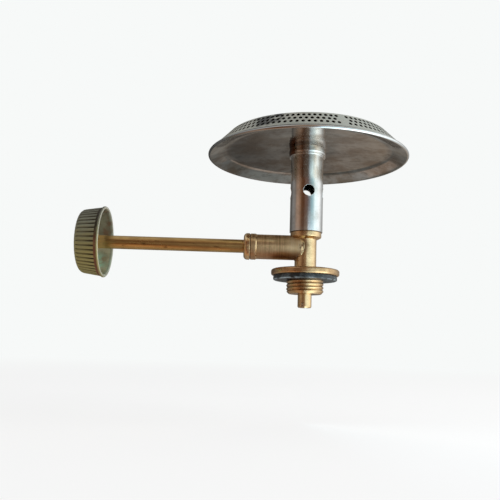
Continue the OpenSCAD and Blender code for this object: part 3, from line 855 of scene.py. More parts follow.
@dataclass(frozen=True)
class Rubber(Finish):
    """Blue-black rubber with chalky scuffs."""

    base: Colour = (0.014, 0.018, 0.021)
    chalk: Colour = (0.1, 0.125, 0.138)
    edge: Colour = (0.3, 0.35, 0.37)
    gloss: Point = (0.3, 0.5)
    chalk_and_highlight_z: Point = (0.1, 0.6)
    chalk_and_highlight_r: Point = (12.6, 13.3)

    def paint(self, s: NodeSheet) -> bpy.types.Material:
        """Lays out scuffs, a pale lower edge of chalk with a painted highlight, and a fine skin."""
        cloud, skin = s.grain(3.5, 4), s.grain(0.4, 3, shift=2)
        scuff = s.times(s.span(cloud, 0.44, 0.64), s.span(skin, 0.3, 0.6))
        s.colour = s.tint(s.times(scuff, 0.75), self.base, self.chalk)
        # chalk and painted highlight along the washer's lower outer edge
        edge = s.times(s.span(s.z, *self.chalk_and_highlight_z, 1, 0), s.span(s.radius(Axis.TUBE), *self.chalk_and_highlight_r))
        s.coat(self.edge, edge, s.span(cloud, 0.4, 0.6))
        return s.close(s.rough(cloud, self.gloss), 0.0, s.relief((skin, 0.03), (cloud, 0.06)))


@dataclass(frozen=True)
class SmallMetal(Finish):
    """Metal of a small piece: a base colour, a darker tone and a fine grain."""

    base: Colour = (0.6, 0.6, 0.58)
    dark: Colour = (0.25, 0.22, 0.18)
    gloss: Point = (0.25, 0.42)
    grain_size: float = 0.5
    pit: float = 0.015

    def paint(self, s: NodeSheet) -> bpy.types.Material:
        """Lays out clouds, dark specks and pits."""
        cloud, fine = s.grain(2.5, 4), s.grain(self.grain_size, 3, shift=2)
        s.colour = s.tint(s.span(cloud, 0.4, 0.7), self.base, self.dark)
        s.coat(self.dark, s.span(fine, 0.55, 0.72), 0.5)
        return s.close(s.rough(cloud, self.gloss), 1.0, s.relief((fine, self.pit), (cloud, 0.02)))


@dataclass(frozen=True)
class Fibre(Finish):
    """Pressed fibre of a sealing ring."""

    base: Colour = (0.05, 0.033, 0.022)
    light: Colour = (0.11, 0.075, 0.05)
    gloss: Point = (0.6, 0.8)

    def paint(self, s: NodeSheet) -> bpy.types.Material:
        """Lays out short fibres and a rough skin."""
        hair = s.grain(0.25, 3, (1, 0.3, 0.3))
        s.colour = s.tint(s.span(hair, 0.4, 0.65), self.base, self.light)
        return s.close(s.rough(hair, self.gloss), 0.0, s.relief((hair, 0.03)))


class Finishes:
    """The finishes of this burner."""

    BRASS = TurnedBrass("turned_brass", "brass")
    FLANGE = TurnedBrass("flange_brass", "brass", clean=(0.72, 0.5, 0.27), worn=(0.46, 0.285, 0.145))
    RISER = TurnedBrass("riser_brass", "brass", gloss=(0.2, 0.34))
    BARREL = BarrelBrass("barrel_brass", "brass", Axis.ROD, gloss=(0.3, 0.44))
    NUT = TurnedBrass("nut_brass", "brass", Axis.ROD, gloss=(0.18, 0.34))
    ROD = DrawnBrass("drawn_rod", "rod_brass")
    KNOB = KnobPatina("knob_patina", "knob_brass")
    TUBE = Plating("tube_plating", "plated_tube")
    PAN = PanSteel("rubbed_pan", "pan_steel")
    CAP = CapSteel("dull_cap", "cap_steel")
    SOOT = Soot("cap_soot", "cap_steel")
    RUBBER = Rubber("washer_rubber", "rubber")
    STEEL = SmallMetal("plated_steel", "steel")
    BRONZE = SmallMetal(
        "filter_bronze", "bronze", (0.5, 0.34, 0.2), (0.2, 0.11, 0.06), (0.45, 0.6),
        grain_size=0.2, pit=0.06)
    BRAZE = SmallMetal(
        "braze_metal", "brass", (0.8, 0.68, 0.42), (0.26, 0.15, 0.07), (0.16, 0.34),
        grain_size=0.8, pit=0.04)
    FIBRE = Fibre("seal_fibre", "fibre")


@dataclass
class SubAssembly(ABC):
    """Part of the burner that builds its own pieces and dresses its nodes."""

    body: Body = Body.BURNER

    @abstractmethod
    def build(self) -> None:
        """Builds and dresses the pieces."""

    def settle(self, piece: bpy.types.Object, finish: Finish, *nodes: str) -> bpy.types.Object:
        """Dresses a new piece, lets it ride on the body and stand for nodes.

        Args:
            piece: The new piece.
            finish: Its finish.
            nodes: Nodes that it stands for.

        Returns:
            The piece.
        """
        piece.data.materials.clear()
        piece.data.materials.append(finish.material())
        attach(piece, self.body.value)
        if nodes:
            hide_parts(*nodes)
        LOG.info("piece %s: %d points, %s", piece.name, len(piece.data.vertices), finish.name)
        return piece

    def dress(self, node: str, finish: Finish) -> None:
        """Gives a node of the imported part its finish."""
        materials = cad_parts[node].data.materials
        materials.clear()
        materials.append(finish.material())
        LOG.info("node %s: %s", node, finish.name)

    def refine(self, node: str, name: str, finish: Finish, sharp_from: float = 32) -> bpy.types.Object:
        """Replaces a node by a copy whose split corners are joined, so that rounds shade smoothly.

        Args:
            node: Node to stand for.
            name: Name of the new piece.
            finish: Its finish.
            sharp_from: Angle in degrees from which edges stay sharp.

        Returns:
            The new piece.
        """
        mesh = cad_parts[node].data.copy()
        with edited(mesh) as shell:
            bmesh.ops.remove_doubles(shell, verts=shell.verts, dist=JOIN_M)
            bmesh.ops.dissolve_degenerate(shell, edges=shell.edges, dist=SLIVER_M)
        split = mesh.attributes.get("custom_normal")
        if split:
            mesh.attributes.remove(split)
        piece = add_object(name, mesh)
        smooth(piece, sharp_from)
        return self.settle(piece, finish, node)


@dataclass
class CylinderConnection(SubAssembly):
    """Flange with its helical thread, rubber washer and inlet pin."""

    thread_r: float = 8.0
    pitch: float = 1.5
    depth: float = 0.42
    crest: float = 1.7
    spigot_end: float = -5.8
    lead_r: float = 7.0
    relief_r: float = 7.175
    relief_low: float = 0.02
    flange_r: float = 14.75
    flange_low: float = 2.0
    flange_top: float = 4.7
    flange_round: float = 0.9
    chip: float = 0.09
    chip_scale: float = 5.0
    tail_r: float = 3.52
    tail_low: float = 1.7
    inlet_r: float = 1.5
    pin_r: float = 2.52
    pin_top: float = -1.8
    washer_r: float = 13.75
    washer_hole: float = 8.1
    washer_bulge: float = 0.05
    washer_inset: float = 0.12
    swell: float = 0.07
    swell_scale: float = 3.0
    swell_reach: float = 1.2
    thread_step: float = 0.06

    def build(self) -> None:
        """Builds the flange and the washer, and refines the pin."""
        self.settle(self.flange(), Finishes.FLANGE, "base_flange")
        self.settle(self.washer(), Finishes.RUBBER, "seal_washer")
        self.refine("inlet_pin", "inlet_pin_turned", Finishes.BRASS)

    def cut(self, radius: float, along: float, angle: float) -> Point:
        """Cuts the helical thread into the spigot, and wears the flange's rim."""
        if abs(radius - self.thread_r) < POLE:
            turn = (along / self.pitch - angle / math.tau) % 1
            groove = (0.5 - 0.5 * math.cos(math.tau * turn)) ** self.crest
            lead = self.lead_r + along - self.spigot_end
            return min(lead, radius - self.depth * groove, self.thread_r), along
        if radius > self.flange_r - self.flange_round:
            return radius - self.chip * max(0.0, wobble_round(angle, self.chip_scale, along / 2)), along
        return radius, along

    def flange(self) -> bpy.types.Object:
        """Turned flange with the threaded spigot under it."""
        rows = round(-self.spigot_end / self.thread_step)
        spigot = [(self.thread_r, self.spigot_end * (1 - i / rows)) for i in range(rows + 1)]
        low, top, blend = self.flange_low, self.flange_top, self.flange_round
        rim = rounded([
            (self.relief_r, self.relief_low, 0), (self.relief_r, low, 0), (self.flange_r, low, blend),
            (self.flange_r, top, blend), (self.tail_r, top, 0)], closed=False)
        bore = [(self.tail_r, self.tail_low), (self.inlet_r, self.tail_low), (self.inlet_r, self.pin_top),
                (self.pin_r, self.pin_top), (self.pin_r, self.spigot_end)]
        body = Turning(spigot + rim + bore, segments=160, shape=self.cut, sharp_from=40)
        return body.build("flange_threaded")

    def press(self, radius: float, along: float, angle: float) -> Point:
        """Squeezes the washer's edge unevenly."""
        share = smoothstep(self.washer_r - self.swell_reach, self.washer_r, radius)
        swell = self.swell * wobble_round(angle, self.swell_scale, 4.2)
        return radius + share * swell, along

    def washer(self) -> bpy.types.Object:
        """Rubber washer with a squeezed edge."""
        edge = rounded([
            (self.washer_hole, 0, 0), (self.washer_r, 0, 0.45),
            (self.washer_r + self.washer_bulge, 1.0, 0.5),
            (self.washer_r - self.washer_inset, self.flange_low, 0.25),
            (self.washer_hole, self.flange_low, 0)])
        return Turning(spaced(edge, 1.0), segments=144, shape=self.press).build("washer_rubber_ring")


@dataclass
class ValveBody(SubAssembly):
    """Riser, barrel, gland and the braze that joins them."""

    riser_r: float = 4.7
    riser_low: float = 4.7
    cone_low: float = 17.85
    collar_low: float = 18.85
    collar_r: float = 6.75
    tube_low: float = 21.1
    plug_r: float = 6.53
    plug_top: float = 26.1
    stem_r: float = 4.3
    stem_top: float = 30.6
    tail_r: float = 3.5
    tail_low: float = 1.7
    inlet_r: float = 1.5
    jet_r: float = 2.52
    jet_floor: float = 25.1
    barrel_r: float = 5.4
    band_r: float = 5.7
    band_s: float = 21.8
    band_slope: float = 0.45
    band_skin: float = 0.04
    nose: float = 0.7
    nose_round: float = 2.0
    seam_steps: int = 56
    seam_thin: float = 0.14
    seam_lump: float = 0.3
    seam_scale: float = 0.9
    foot_r: float = 0.55
    foot_skin: float = 0.03
    foot_swell: float = 0.45
    foot_scale: float = 2.5

    def build(self) -> None:
        """Builds the riser and the braze, and dresses the barrel and the gland."""
        self.settle(self.riser(), Finishes.RISER, "riser_body")
        self.refine("valve_barrel", "valve_barrel_turned", Finishes.BARREL, 28)
        self.refine("gland_nut", "gland_nut_domed", Finishes.NUT, 28)
        self.dress("gland_seal", Finishes.FIBRE)
        self.dress("stop_washer", Finishes.STEEL)
        self.settle(self.shoulder(), Finishes.BRASS)
        self.settle(self.seam(), Finishes.BRAZE)
        self.settle(self.foot(), Finishes.BRASS)

    def riser(self) -> bpy.types.Object:
        """Turned riser with a soft collar, plug and stem."""
        outline = rounded([
            (0, VALVE_Z, 0), (self.inlet_r, VALVE_Z, 0),
            (self.inlet_r, self.tail_low, 0), (self.tail_r, self.tail_low, 0),
            (self.tail_r, self.riser_low, 0), (self.riser_r, self.riser_low, 0),
            (self.riser_r, self.cone_low, 0.5), (self.collar_r, self.collar_low, 0.6),
            (self.collar_r, self.tube_low, 0.18), (self.plug_r, self.tube_low, 0),
            (self.plug_r, self.plug_top, 0.3), (self.stem_r, self.plug_top, 0),
            (self.stem_r, self.stem_top, 0.2), (self.jet_r, self.stem_top, 0),
            (self.jet_r, self.jet_floor, 0), (0, self.jet_floor, 0)], closed=False)
        return Turning(spaced(outline, 1.5), segments=128).build("riser_turned")

    def shoulder(self) -> bpy.types.Object:
        """Turned slope from the barrel up to the band round its mouth."""
        inner, outer = self.barrel_r - self.band_skin, self.band_r - self.band_skin / 2
        start, end = self.band_s - self.band_slope, self.band_s + self.band_skin
        outline = [(inner, start), (outer, self.band_s), (outer, end), (inner, end)]
        return Turning(outline, Axis.ROD, 96, sharp_from=20).build("band_shoulder")

    def seam_height(self, x: float) -> float:
        """Height over the valve axis where the barrel meets the riser at x."""
        square = self.riser_r ** 2 - x * x
        back = x + self.nose + self.nose_round
        reach = self.barrel_r
        if back > 0:
            reach += math.sqrt(max(0.0, self.nose_round ** 2 - back * back)) - self.nose_round
        return math.sqrt(max(0.0, reach * reach - square))

    def seam(self) -> bpy.types.Object:
        """Uneven bead of braze where the barrel is saddled on the riser."""
        low, high, scale = 0.0, math.pi, self.seam_scale
        for _ in range(50):
            mid = (low + high) / 2
            low, high = (mid, high) if self.seam_height(-self.riser_r * math.cos(mid)) > 0 else (low, mid)
        turns = [low * (2 * i / self.seam_steps - 1) for i in range(self.seam_steps + 1)]
        upper = [(t, 1) for t in turns]
        lower = [(t, -1) for t in reversed(turns[1:-1])]
        path, radii = [], []
        for turn, sign in upper + lower:
            x = -self.riser_r * math.cos(turn)
            at = Vector((x, -self.riser_r * math.sin(turn), VALVE_Z + sign * self.seam_height(x)))
            lump = smoothstep(-0.15, 0.55, wobble(at.x * scale, at.y * scale + 4, at.z * scale))
            path.append(at)
            radii.append(self.seam_thin + self.seam_lump * lump)
        return Bead(path, radii).build("braze_seam")

    def foot(self) -> bpy.types.Object:
        """Hollow fillet of braze round the riser's foot on the flange."""
        inner, under = self.riser_r - self.foot_skin, self.riser_low - self.foot_skin
        outer, top = self.riser_r + self.foot_r, self.riser_low + self.foot_r
        hollow = arc((outer, top), self.foot_r, math.pi, 1.5 * math.pi, 8)
        outline = [*hollow, (outer, under), (inner, under), (inner, top)]
        return Turning(outline, segments=96, shape=self.spread).build("braze_foot")

    def spread(self, radius: float, along: float, angle: float) -> Point:
        """Lets the fillet swell and shrink round the foot."""
        swell = 1 + self.foot_swell * wobble_round(angle, self.foot_scale, 7.0)
        out, up = (radius - self.riser_r) * swell, (along - self.riser_low) * swell
        return self.riser_r + out, self.riser_low + up


@dataclass
class Spindle(SubAssembly):
    """Control rod and the sealing ring that slides with it."""

    body: Body = Body.SPINDLE

    def build(self) -> None:
        """Dresses the rod and the ring."""
        self.dress("valve_spindle", Finishes.ROD)
        self.dress("sealing_ring", Finishes.RUBBER)


@dataclass
class Knob(SubAssembly):
    """Hollow pressed knob with a beaded rim, ribs, hub and screw."""

    body: Body = Body.SPINDLE
    rim_s: float = 87.1
    length: float = 10.8
    bead_r: float = 0.65
    bead_mid: float = 14.85
    bead_turns: Point = (157.0, 430.0)
    wall_start: float = 1.4
    body_r: float = 15.15
    taper: float = 1.45
    wall: float = 0.9
    end_round: float = 2.0
    recess_r: float = 6.0
    recess_h: float = 2.2
    recess_slope: float = 0.8
    hole_r: float = 1.6
    grooves: int = 48
    groove_r: float = 0.4
    groove_h: float = 0.3
    groove_start: float = 1.8
    groove_extra: float = 0.25
    crown: float = 0.1
    samples: int = 10
    outside: list[Point] = field(default_factory=list)

    def build(self) -> None:
        """Builds the cup, and dresses hub, washer and screw."""
        self.settle(self.cup(), Finishes.KNOB, "knob_cup")
        self.dress("knob_hub", Finishes.ROD)
        self.dress("knob_washer", Finishes.STEEL)
        self.refine("knob_screw", "knob_screw_slotted", Finishes.STEEL)

    def face(self, height: float) -> float:
        """Radius of the knob's plain outside at a height over the rim."""
        return self.body_r - self.taper * (height - self.bead_r) / (self.length - self.bead_r)

    def skin(self, height: float) -> float:
        """Radius of the outside at a height over the rim, with the rounded end."""
        i = bisect_left(self.outside, height, key=itemgetter(1))
        i = min(max(i, 1), len(self.outside) - 1)
        (low_r, low), (high_r, high) = self.outside[i - 1], self.outside[i]
        return low_r + (high_r - low_r) * (height - low) / (high - low)

    def rib(self, radius: float, along: float, angle: float) -> Point:
        """Presses the grip grooves into the outside."""
        height = along - self.rim_s
        step = math.tau / self.grooves
        off = ((angle + step / 2) % step - step / 2) * radius
        deep = math.sqrt(max(0.0, self.groove_r ** 2 - off * off)) - self.groove_r + self.groove_h
        deep = max(deep, self.crown * math.cos(math.pi * off / (step * radius)) ** 2)
        start = smoothstep(self.groove_start - 0.3, self.groove_start + 0.2, height)
        start *= 1 + self.groove_extra * (1 - smoothstep(self.groove_start, self.length - 2, height))
        plain = self.skin(height)
        if deep <= 0 or start <= 0 or radius < plain - self.wall * 0.55 or height > self.length - 0.05:
            return radius, along
        return min(radius, plain - deep * start), along

    def cup(self) -> bpy.types.Object:
        """Pressed cup in one outline: bead, ribbed wall, dished end and inside."""
        mid, half = self.wall / 2, self.length - self.wall / 2
        floor = self.length - self.recess_h - mid
        middle = rounded([
            (self.face(self.bead_r) - mid, self.bead_r, 0),
            (self.face(self.length) - mid, half, self.end_round), (self.recess_r, half, self.wall),
            (self.recess_r - self.recess_slope, floor, self.wall), (self.hole_r, floor, 0)], closed=False)
        wall = sheet(middle, self.wall)
        count = len(wall) // 2
        one, other = wall[:count], wall[count:][::-1]
        inner, outer = (one, other) if one[0][0] < other[0][0] else (other, one)
        bead = arc((self.bead_mid, self.bead_r), self.bead_r, *map(math.radians, self.bead_turns), 30)
        outer = [(self.face(self.wall_start), self.wall_start)] + outer[1:]
        self.outside = outer[:1] + [b for a, b in zip(outer, outer[1:]) if b[1] > a[1] + POLE]
        outline = [(r, self.rim_s + h) for r, h in spaced(bead + outer + inner[:0:-1], 0.45)]
        return Turning(outline, Axis.ROD, self.grooves * self.samples, self.rib, 38).build("knob_ribbed")


@dataclass
class MixingTube(SubAssembly):
    """Plated tube with hand-drilled, burred air holes, and the jet inside it."""

    tube_r: float = 7.15
    hole_r: float = 2.5
    hole_z: float = 38.6
    first_turn: float = 6.0
    turn: float = -2.6
    drifts: tuple[Point, ...] = ((0.0, 0.0), (0.0, 0.0), (-0.45, 0.75), (-1.0, 0.0))
    drift_reach: float = 6.5
    burr: float = 0.13
    burr_sink: float = 0.03
    burr_steps: int = 48
    wall_lean: float = 0.8

    def build(self) -> None:
        """Builds the tube and its burrs, and dresses the jet."""
        self.settle(self.tube(), Finishes.TUBE, "mixing_tube")
        self.dress("jet", Finishes.BRASS)
        self.dress("jet_filter", Finishes.BRONZE)
        for i in range(len(self.drifts)):
            self.settle(self.burr_ring(i), Finishes.TUBE)

    def hole_angle(self, index: int) -> float:
        """Angle of a hole in the solid, in radians."""
        return FRONT + math.radians(self.first_turn) + math.tau * index / len(self.drifts)

    def drill(self, at: Vector) -> Vector:
        """Moves a point of the solid's tube so that each hole sits where the drill wandered to.

        Args:
            at: Point in millimetres.

        Returns:
            The moved point, at the same distance from the axis.
        """
        angle, lift = math.atan2(at.y, at.x), 0.0
        swing = math.radians(self.turn)
        for i, (aside, up) in enumerate(self.drifts):
            off = math.remainder(angle - self.hole_angle(i), math.tau) * self.tube_r
            share = 1 - smoothstep(self.hole_r * 1.1, self.drift_reach, math.hypot(off, at.z - self.hole_z))
            swing += share * aside / self.tube_r
            lift += share * up
        return Matrix.Rotation(swing, 3, "Z") @ at + Vector((0, 0, lift))

    def tube(self) -> bpy.types.Object:
        """Copy of the solid's tube with its holes drilled by hand, shaded as a true round."""
        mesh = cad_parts["mixing_tube"].data.copy()
        for vertex in mesh.vertices:
            vertex.co = self.drill(vertex.co / MM) * MM
        mesh.update()
        normals = [Vector()] * len(mesh.loops)
        for face in mesh.polygons:
            for loop in face.loop_indices:
                place = mesh.vertices[mesh.loops[loop].vertex_index].co
                out = Vector((place.x, place.y, 0)).normalized()
                lean = face.normal.dot(out)
                on_wall = abs(lean) > self.wall_lean
                normals[loop] = out * math.copysign(1, lean) if on_wall else face.normal.copy()
        mesh.normals_split_custom_set(normals)
        return add_object("mixing_tube_drilled", mesh)

    def burr_ring(self, index: int) -> bpy.types.Object:
        """Raised burr that drilling left round one air hole."""
        aside, up = self.drifts[index]
        swing = self.hole_angle(index) + math.radians(self.turn) + aside / self.tube_r
        turn = Matrix.Rotation(swing, 3, "Z")
        path, radii = [], []
        for k in range(self.burr_steps):
            a = math.tau * k / self.burr_steps
            side = self.hole_r * math.cos(a)
            out = math.sqrt(self.tube_r ** 2 - side * side) - self.burr_sink
            path.append(turn @ Vector((out, side, self.hole_z + up + self.hole_r * math.sin(a))))
            radii.append(self.burr * (0.8 + 0.35 * wobble_round(a, 2, index)))
        return Bead(path, radii, 8).build(f"air_hole_burr_{index + 1}")


@dataclass
class BurnerHead(SubAssembly):
    """Dished pan with its folded hem, ferrule and perforated cap."""

    tube_r: float = 7.17
    pan_z: float = 58.7
    seat_r: float = 9.35
    brim: Point = (36.0, 57.2)
    brim_blend: float = 12.0
    fold: Point = (43.375, 54.32)
    fold_r: float = 0.42
    hem_lip: float = 0.15
    sheet_t: float = 0.4
    buckle_from: Point = (11.0, 20.0)
    buckle_to: Point = (38.0, 42.0)
    buckle_h: float = 0.05
    dent_h: float = 0.06
    dent_size: float = 11.0
    ferrule_r: float = 8.1
    ferrule_low: float = 54.7
    ferrule_top: float = 58.5
    ferrule_bulge: float = 0.25
    ferrule_plain: float = 1.25
    cap_edge: Point = (34.9, 63.0)
    cap_blend: float = 1.4
    dome_h: float = 1.2
    dome_rings: int = 14
    ports: int = 108
    rows: int = 3
    row_start: float = 2.2
    row_pitch: float = 2.7
    bars: int = 3
    bar_turn: float = 16.0
    port_r: float = 0.68
    port_stretch: float = 1.35
    dimple: float = 0.16
    port_edge: float = 0.06
    sink: float = 0.06

    def build(self) -> None:
        """Builds pan, ferrule and cap."""
        self.settle(self.pan(), Finishes.PAN, "burner_pan")
        self.settle(self.ferrule(), Finishes.TUBE, "pan_ferrule")
        cap = self.settle(self.cap(), Finishes.CAP, "flame_cap")
        cap.data.materials.append(Finishes.SOOT.material())

    def cone(self) -> Vector:
        """Direction down the cap's cone."""
        return (Vector(self.fold) - Vector(self.cap_edge)).normalized()

    def buckle(self, radius: float, along: float, angle: float) -> Point:
        """Lets the pan's floor buckle a little, as pressed sheet does."""
        share = smoothstep(*self.buckle_from, radius) * (1 - smoothstep(*self.buckle_to, radius))
        wave = self.buckle_h * (math.sin(2 * angle + 0.7) + math.sin(3 * angle + 2.1))
        dent = self.dent_h * wobble_round(angle, radius / self.dent_size, 3.3)
        return radius, along + share * (wave + dent)

    def pan(self) -> bpy.types.Object:
        """Dished pan whose edge is folded round the cap's edge."""
        cone = self.cone()
        tilt = math.atan2(-cone.y, cone.x)
        run = Vector(self.fold) - Vector(self.brim)
        slope = math.atan2(run.y, run.x) - math.asin(self.fold_r / run.length)
        bend = arc(self.fold, self.fold_r, slope - math.pi / 2, math.pi / 2 - tilt, 20)
        floor = rounded([
            (self.tube_r, self.pan_z, 0), (self.seat_r, self.pan_z, 0.0), (*self.brim, self.brim_blend),
            (*bend[0], 0)], closed=False)
        lip = Vector(bend[-1]) - cone * self.hem_lip
        path = spaced(floor, 1.6) + bend[1:] + [tuple(lip)]
        dish = Turning(sheet(path, self.sheet_t), segments=192, shape=self.buckle, sharp_from=50)
        return dish.build("pan_dished")

    def rolled(self, inset: float, height: float, radius: float, start: float, end: float) -> list[Point]:
        """Outline of a rolled bead near the ferrule's lower end, from a start to an end in degrees."""
        centre = (self.ferrule_r - inset, self.ferrule_low + height)
        return arc(centre, radius, math.radians(start), math.radians(end), 7)

    def ferrule(self) -> bpy.types.Object:
        """Bulged ring under the pan, with two fine rolled beads at its lower end."""
        half = (self.ferrule_top - self.ferrule_low) / 2
        ball = (half ** 2 + self.ferrule_bulge ** 2) / (2 * self.ferrule_bulge)
        side = [(self.ferrule_r - ball + math.sqrt(ball ** 2 - h * h), self.ferrule_low + half + h)
                for h in (half * i / 10 for i in range(-8, 11))]
        side = [point for point in side if point[1] > self.ferrule_low + self.ferrule_plain]
        lip = self.rolled(inset=0.3, height=0.22, radius=0.22, start=-90, end=70)
        roll = self.rolled(inset=0.26, height=0.92, radius=0.2, start=-75, end=75)
        outline = [(self.tube_r, self.ferrule_low), *lip, *roll, *side, (self.tube_r, self.ferrule_top)]
        return Turning(outline, segments=128, sharp_from=40).build("ferrule_bulged")

    def cap(self) -> bpy.types.Object:
        """Perforated cap: a cone of cells, most with a punched port, under a shallow dome."""
        return CapMesh(self).build("cap_perforated")


class CapMesh:
    """Outside of the cap as a grid of cells, thickened inwards."""

    COLUMNS = 4
    LEVELS = 4
    HALF = 2
    SHARP_FROM = 42
    RIM = ((2, 0), (2, 1), (2, 2), (1, 2), (0, 2), (-1, 2), (-2, 2), (-2, 1),
           (-2, 0), (-2, -1), (-2, -2), (-1, -2), (0, -2), (1, -2), (2, -2), (2, -1))

    def __init__(self, head: BurnerHead) -> None:
        """Takes the sizes from the head."""
        self.head = head
        self.columns = head.ports * self.COLUMNS
        self.down = head.cone()
        self.out = Vector((-self.down.y, self.down.x))
        self.first = head.row_start - head.row_pitch / 2
        self.points: list[Vector] = []
        self.faces: list[tuple[int, ...]] = []
        self.grid: dict[tuple[int, int], int] = {}

    def add(self, radius: float, angle: float, height: float) -> int:
        """Adds a point, and gives its number."""
        self.points.append(Axis.TUBE.point(radius, angle, height))
        return len(self.points) - 1

    def angle(self, column: float) -> float:
        """Turn of a column, from the first bar."""
        return FRONT + math.radians(self.head.bar_turn) + math.tau * column / self.columns

    def on_cone(self, down: float, angle: float, sink: float = 0.0) -> int:
        """Adds a point on the cone's outside."""
        at = Vector(self.head.cap_edge) + self.down * down + self.out * (self.head.sheet_t / 2 - sink)
        return self.add(at.x, angle, at.y)

    def cell(self, level: int, column: int) -> int:
        """Number of a grid point, made when first asked for."""
        key = (level, column % self.columns)
        if key not in self.grid:
            down = self.first + self.head.row_pitch * level / self.LEVELS
            self.grid[key] = self.on_cone(down, self.angle(key[1]))
        return self.grid[key]

    def port(self, level: int, column: int) -> None:
        """Cell with a punched port, whose edge is drawn in a little."""
        head, rings = self.head, []
        centre = head.row_start + head.row_pitch * (level // self.LEVELS)
        for wider, sink in ((head.dimple, 0.0), (head.port_edge, head.sink / 2), (0.0, head.sink)):
            reach = head.port_r + wider
            ring = []
            for k in range(len(self.RIM)):
                turn = math.tau * k / len(self.RIM)
                down = centre + reach * head.port_stretch * math.sin(turn)
                radius = head.cap_edge[0] + self.down.x * down
                ring.append(self.on_cone(down, self.angle(column) + reach * math.cos(turn) / radius, sink))
            rings.append(ring)
        rings.insert(0, [self.cell(level + self.HALF + dv, column + du) for du, dv in self.RIM])
        self.stitch(rings)

    def plain(self, level: int, column: int) -> None:
        """Cell without a port."""
        for v in range(level, level + self.LEVELS):
            for u in range(column - self.HALF, column + self.HALF):
                corners = ((v, u), (v, u + 1), (v + 1, u + 1), (v + 1, u))
                self.faces.append(tuple(self.cell(*corner) for corner in corners))

    def ring(self, radius: float, height: float) -> list[int]:
        """Full row of points, or the pole."""
        count = 1 if radius < POLE else self.columns
        return [self.add(radius, self.angle(c), height) for c in range(count)]

    def stitch(self, rows: Sequence[Sequence[int]]) -> None:
        """Adds the faces between closed rows of points, from each row to the next."""
        for upper, lower in zip(rows, rows[1:]):
            self.faces += strip(upper, lower)

    def crown(self) -> list[Point]:
        """Outline of the top, from the pole to the cone, on the outside."""
        head = self.head
        edge = head.cap_edge
        ball = (edge[0] ** 2 + head.dome_h ** 2) / (2 * head.dome_h)
        radii = [edge[0] * i / head.dome_rings for i in range(head.dome_rings)]
        dome = [(r, edge[1] + head.dome_h - ball + math.sqrt(ball * ball - r * r)) for r in radii]
        shoulder = fillet(dome[-1], (*edge, head.cap_blend), tuple(Vector(edge) + self.down * 3), 10)
        path = [Vector(p) for p in dome + shoulder]
        runs = [(b - a).normalized() for a, b in zip(path, path[1:])]
        runs.append(self.down)
        outward = [Vector((0, 1))] + [Vector((-r.y, r.x)) for r in runs[1:]]
        return [tuple(p + o * head.sheet_t / 2) for p, o in zip(path, outward)]

    def build(self, name: str) -> bpy.types.Object:
        """Builds the cap.

        Args:
            name: Name of the piece.

        Returns:
            The new object.
        """
        head = self.head
        per_bar = head.ports // head.bars
        for row in range(head.rows):
            level, odd = row * self.LEVELS, row % 2
            for i in range(head.ports):
                column = self.COLUMNS * i + self.HALF * odd
                place = i % per_bar
                solid = place == 0 or (odd and place == per_bar - 1)
                (self.plain if solid else self.port)(level, column)
        last = head.rows * self.LEVELS
        rows = [self.ring(r, h) for r, h in self.crown()]
        rows.append([self.cell(0, c) for c in range(self.columns)])
        self.stitch(rows)
        reach = (Vector(head.fold) - Vector(head.cap_edge)).length
        start = self.first + head.row_pitch * head.rows
        rows = [[self.cell(last, c) for c in range(self.columns)]]
        for share in (0.5, 1.0):
            down = start + (reach - start) * share
            rows.append([self.on_cone(down, self.angle(c)) for c in range(self.columns)])
        self.stitch(rows)
        piece = make_object(name, self.points, self.faces)
        if piece.data.polygons[-1].normal.z < 0:
            piece.data.flip_normals()
        smooth(piece, self.SHARP_FROM)
        thick = piece.modifiers.new("sheet", "SOLIDIFY")
        thick.thickness, thick.offset = head.sheet_t * MM, -1
        thick.use_even_offset = True
        thick.material_offset = thick.material_offset_rim = 1
        return piece


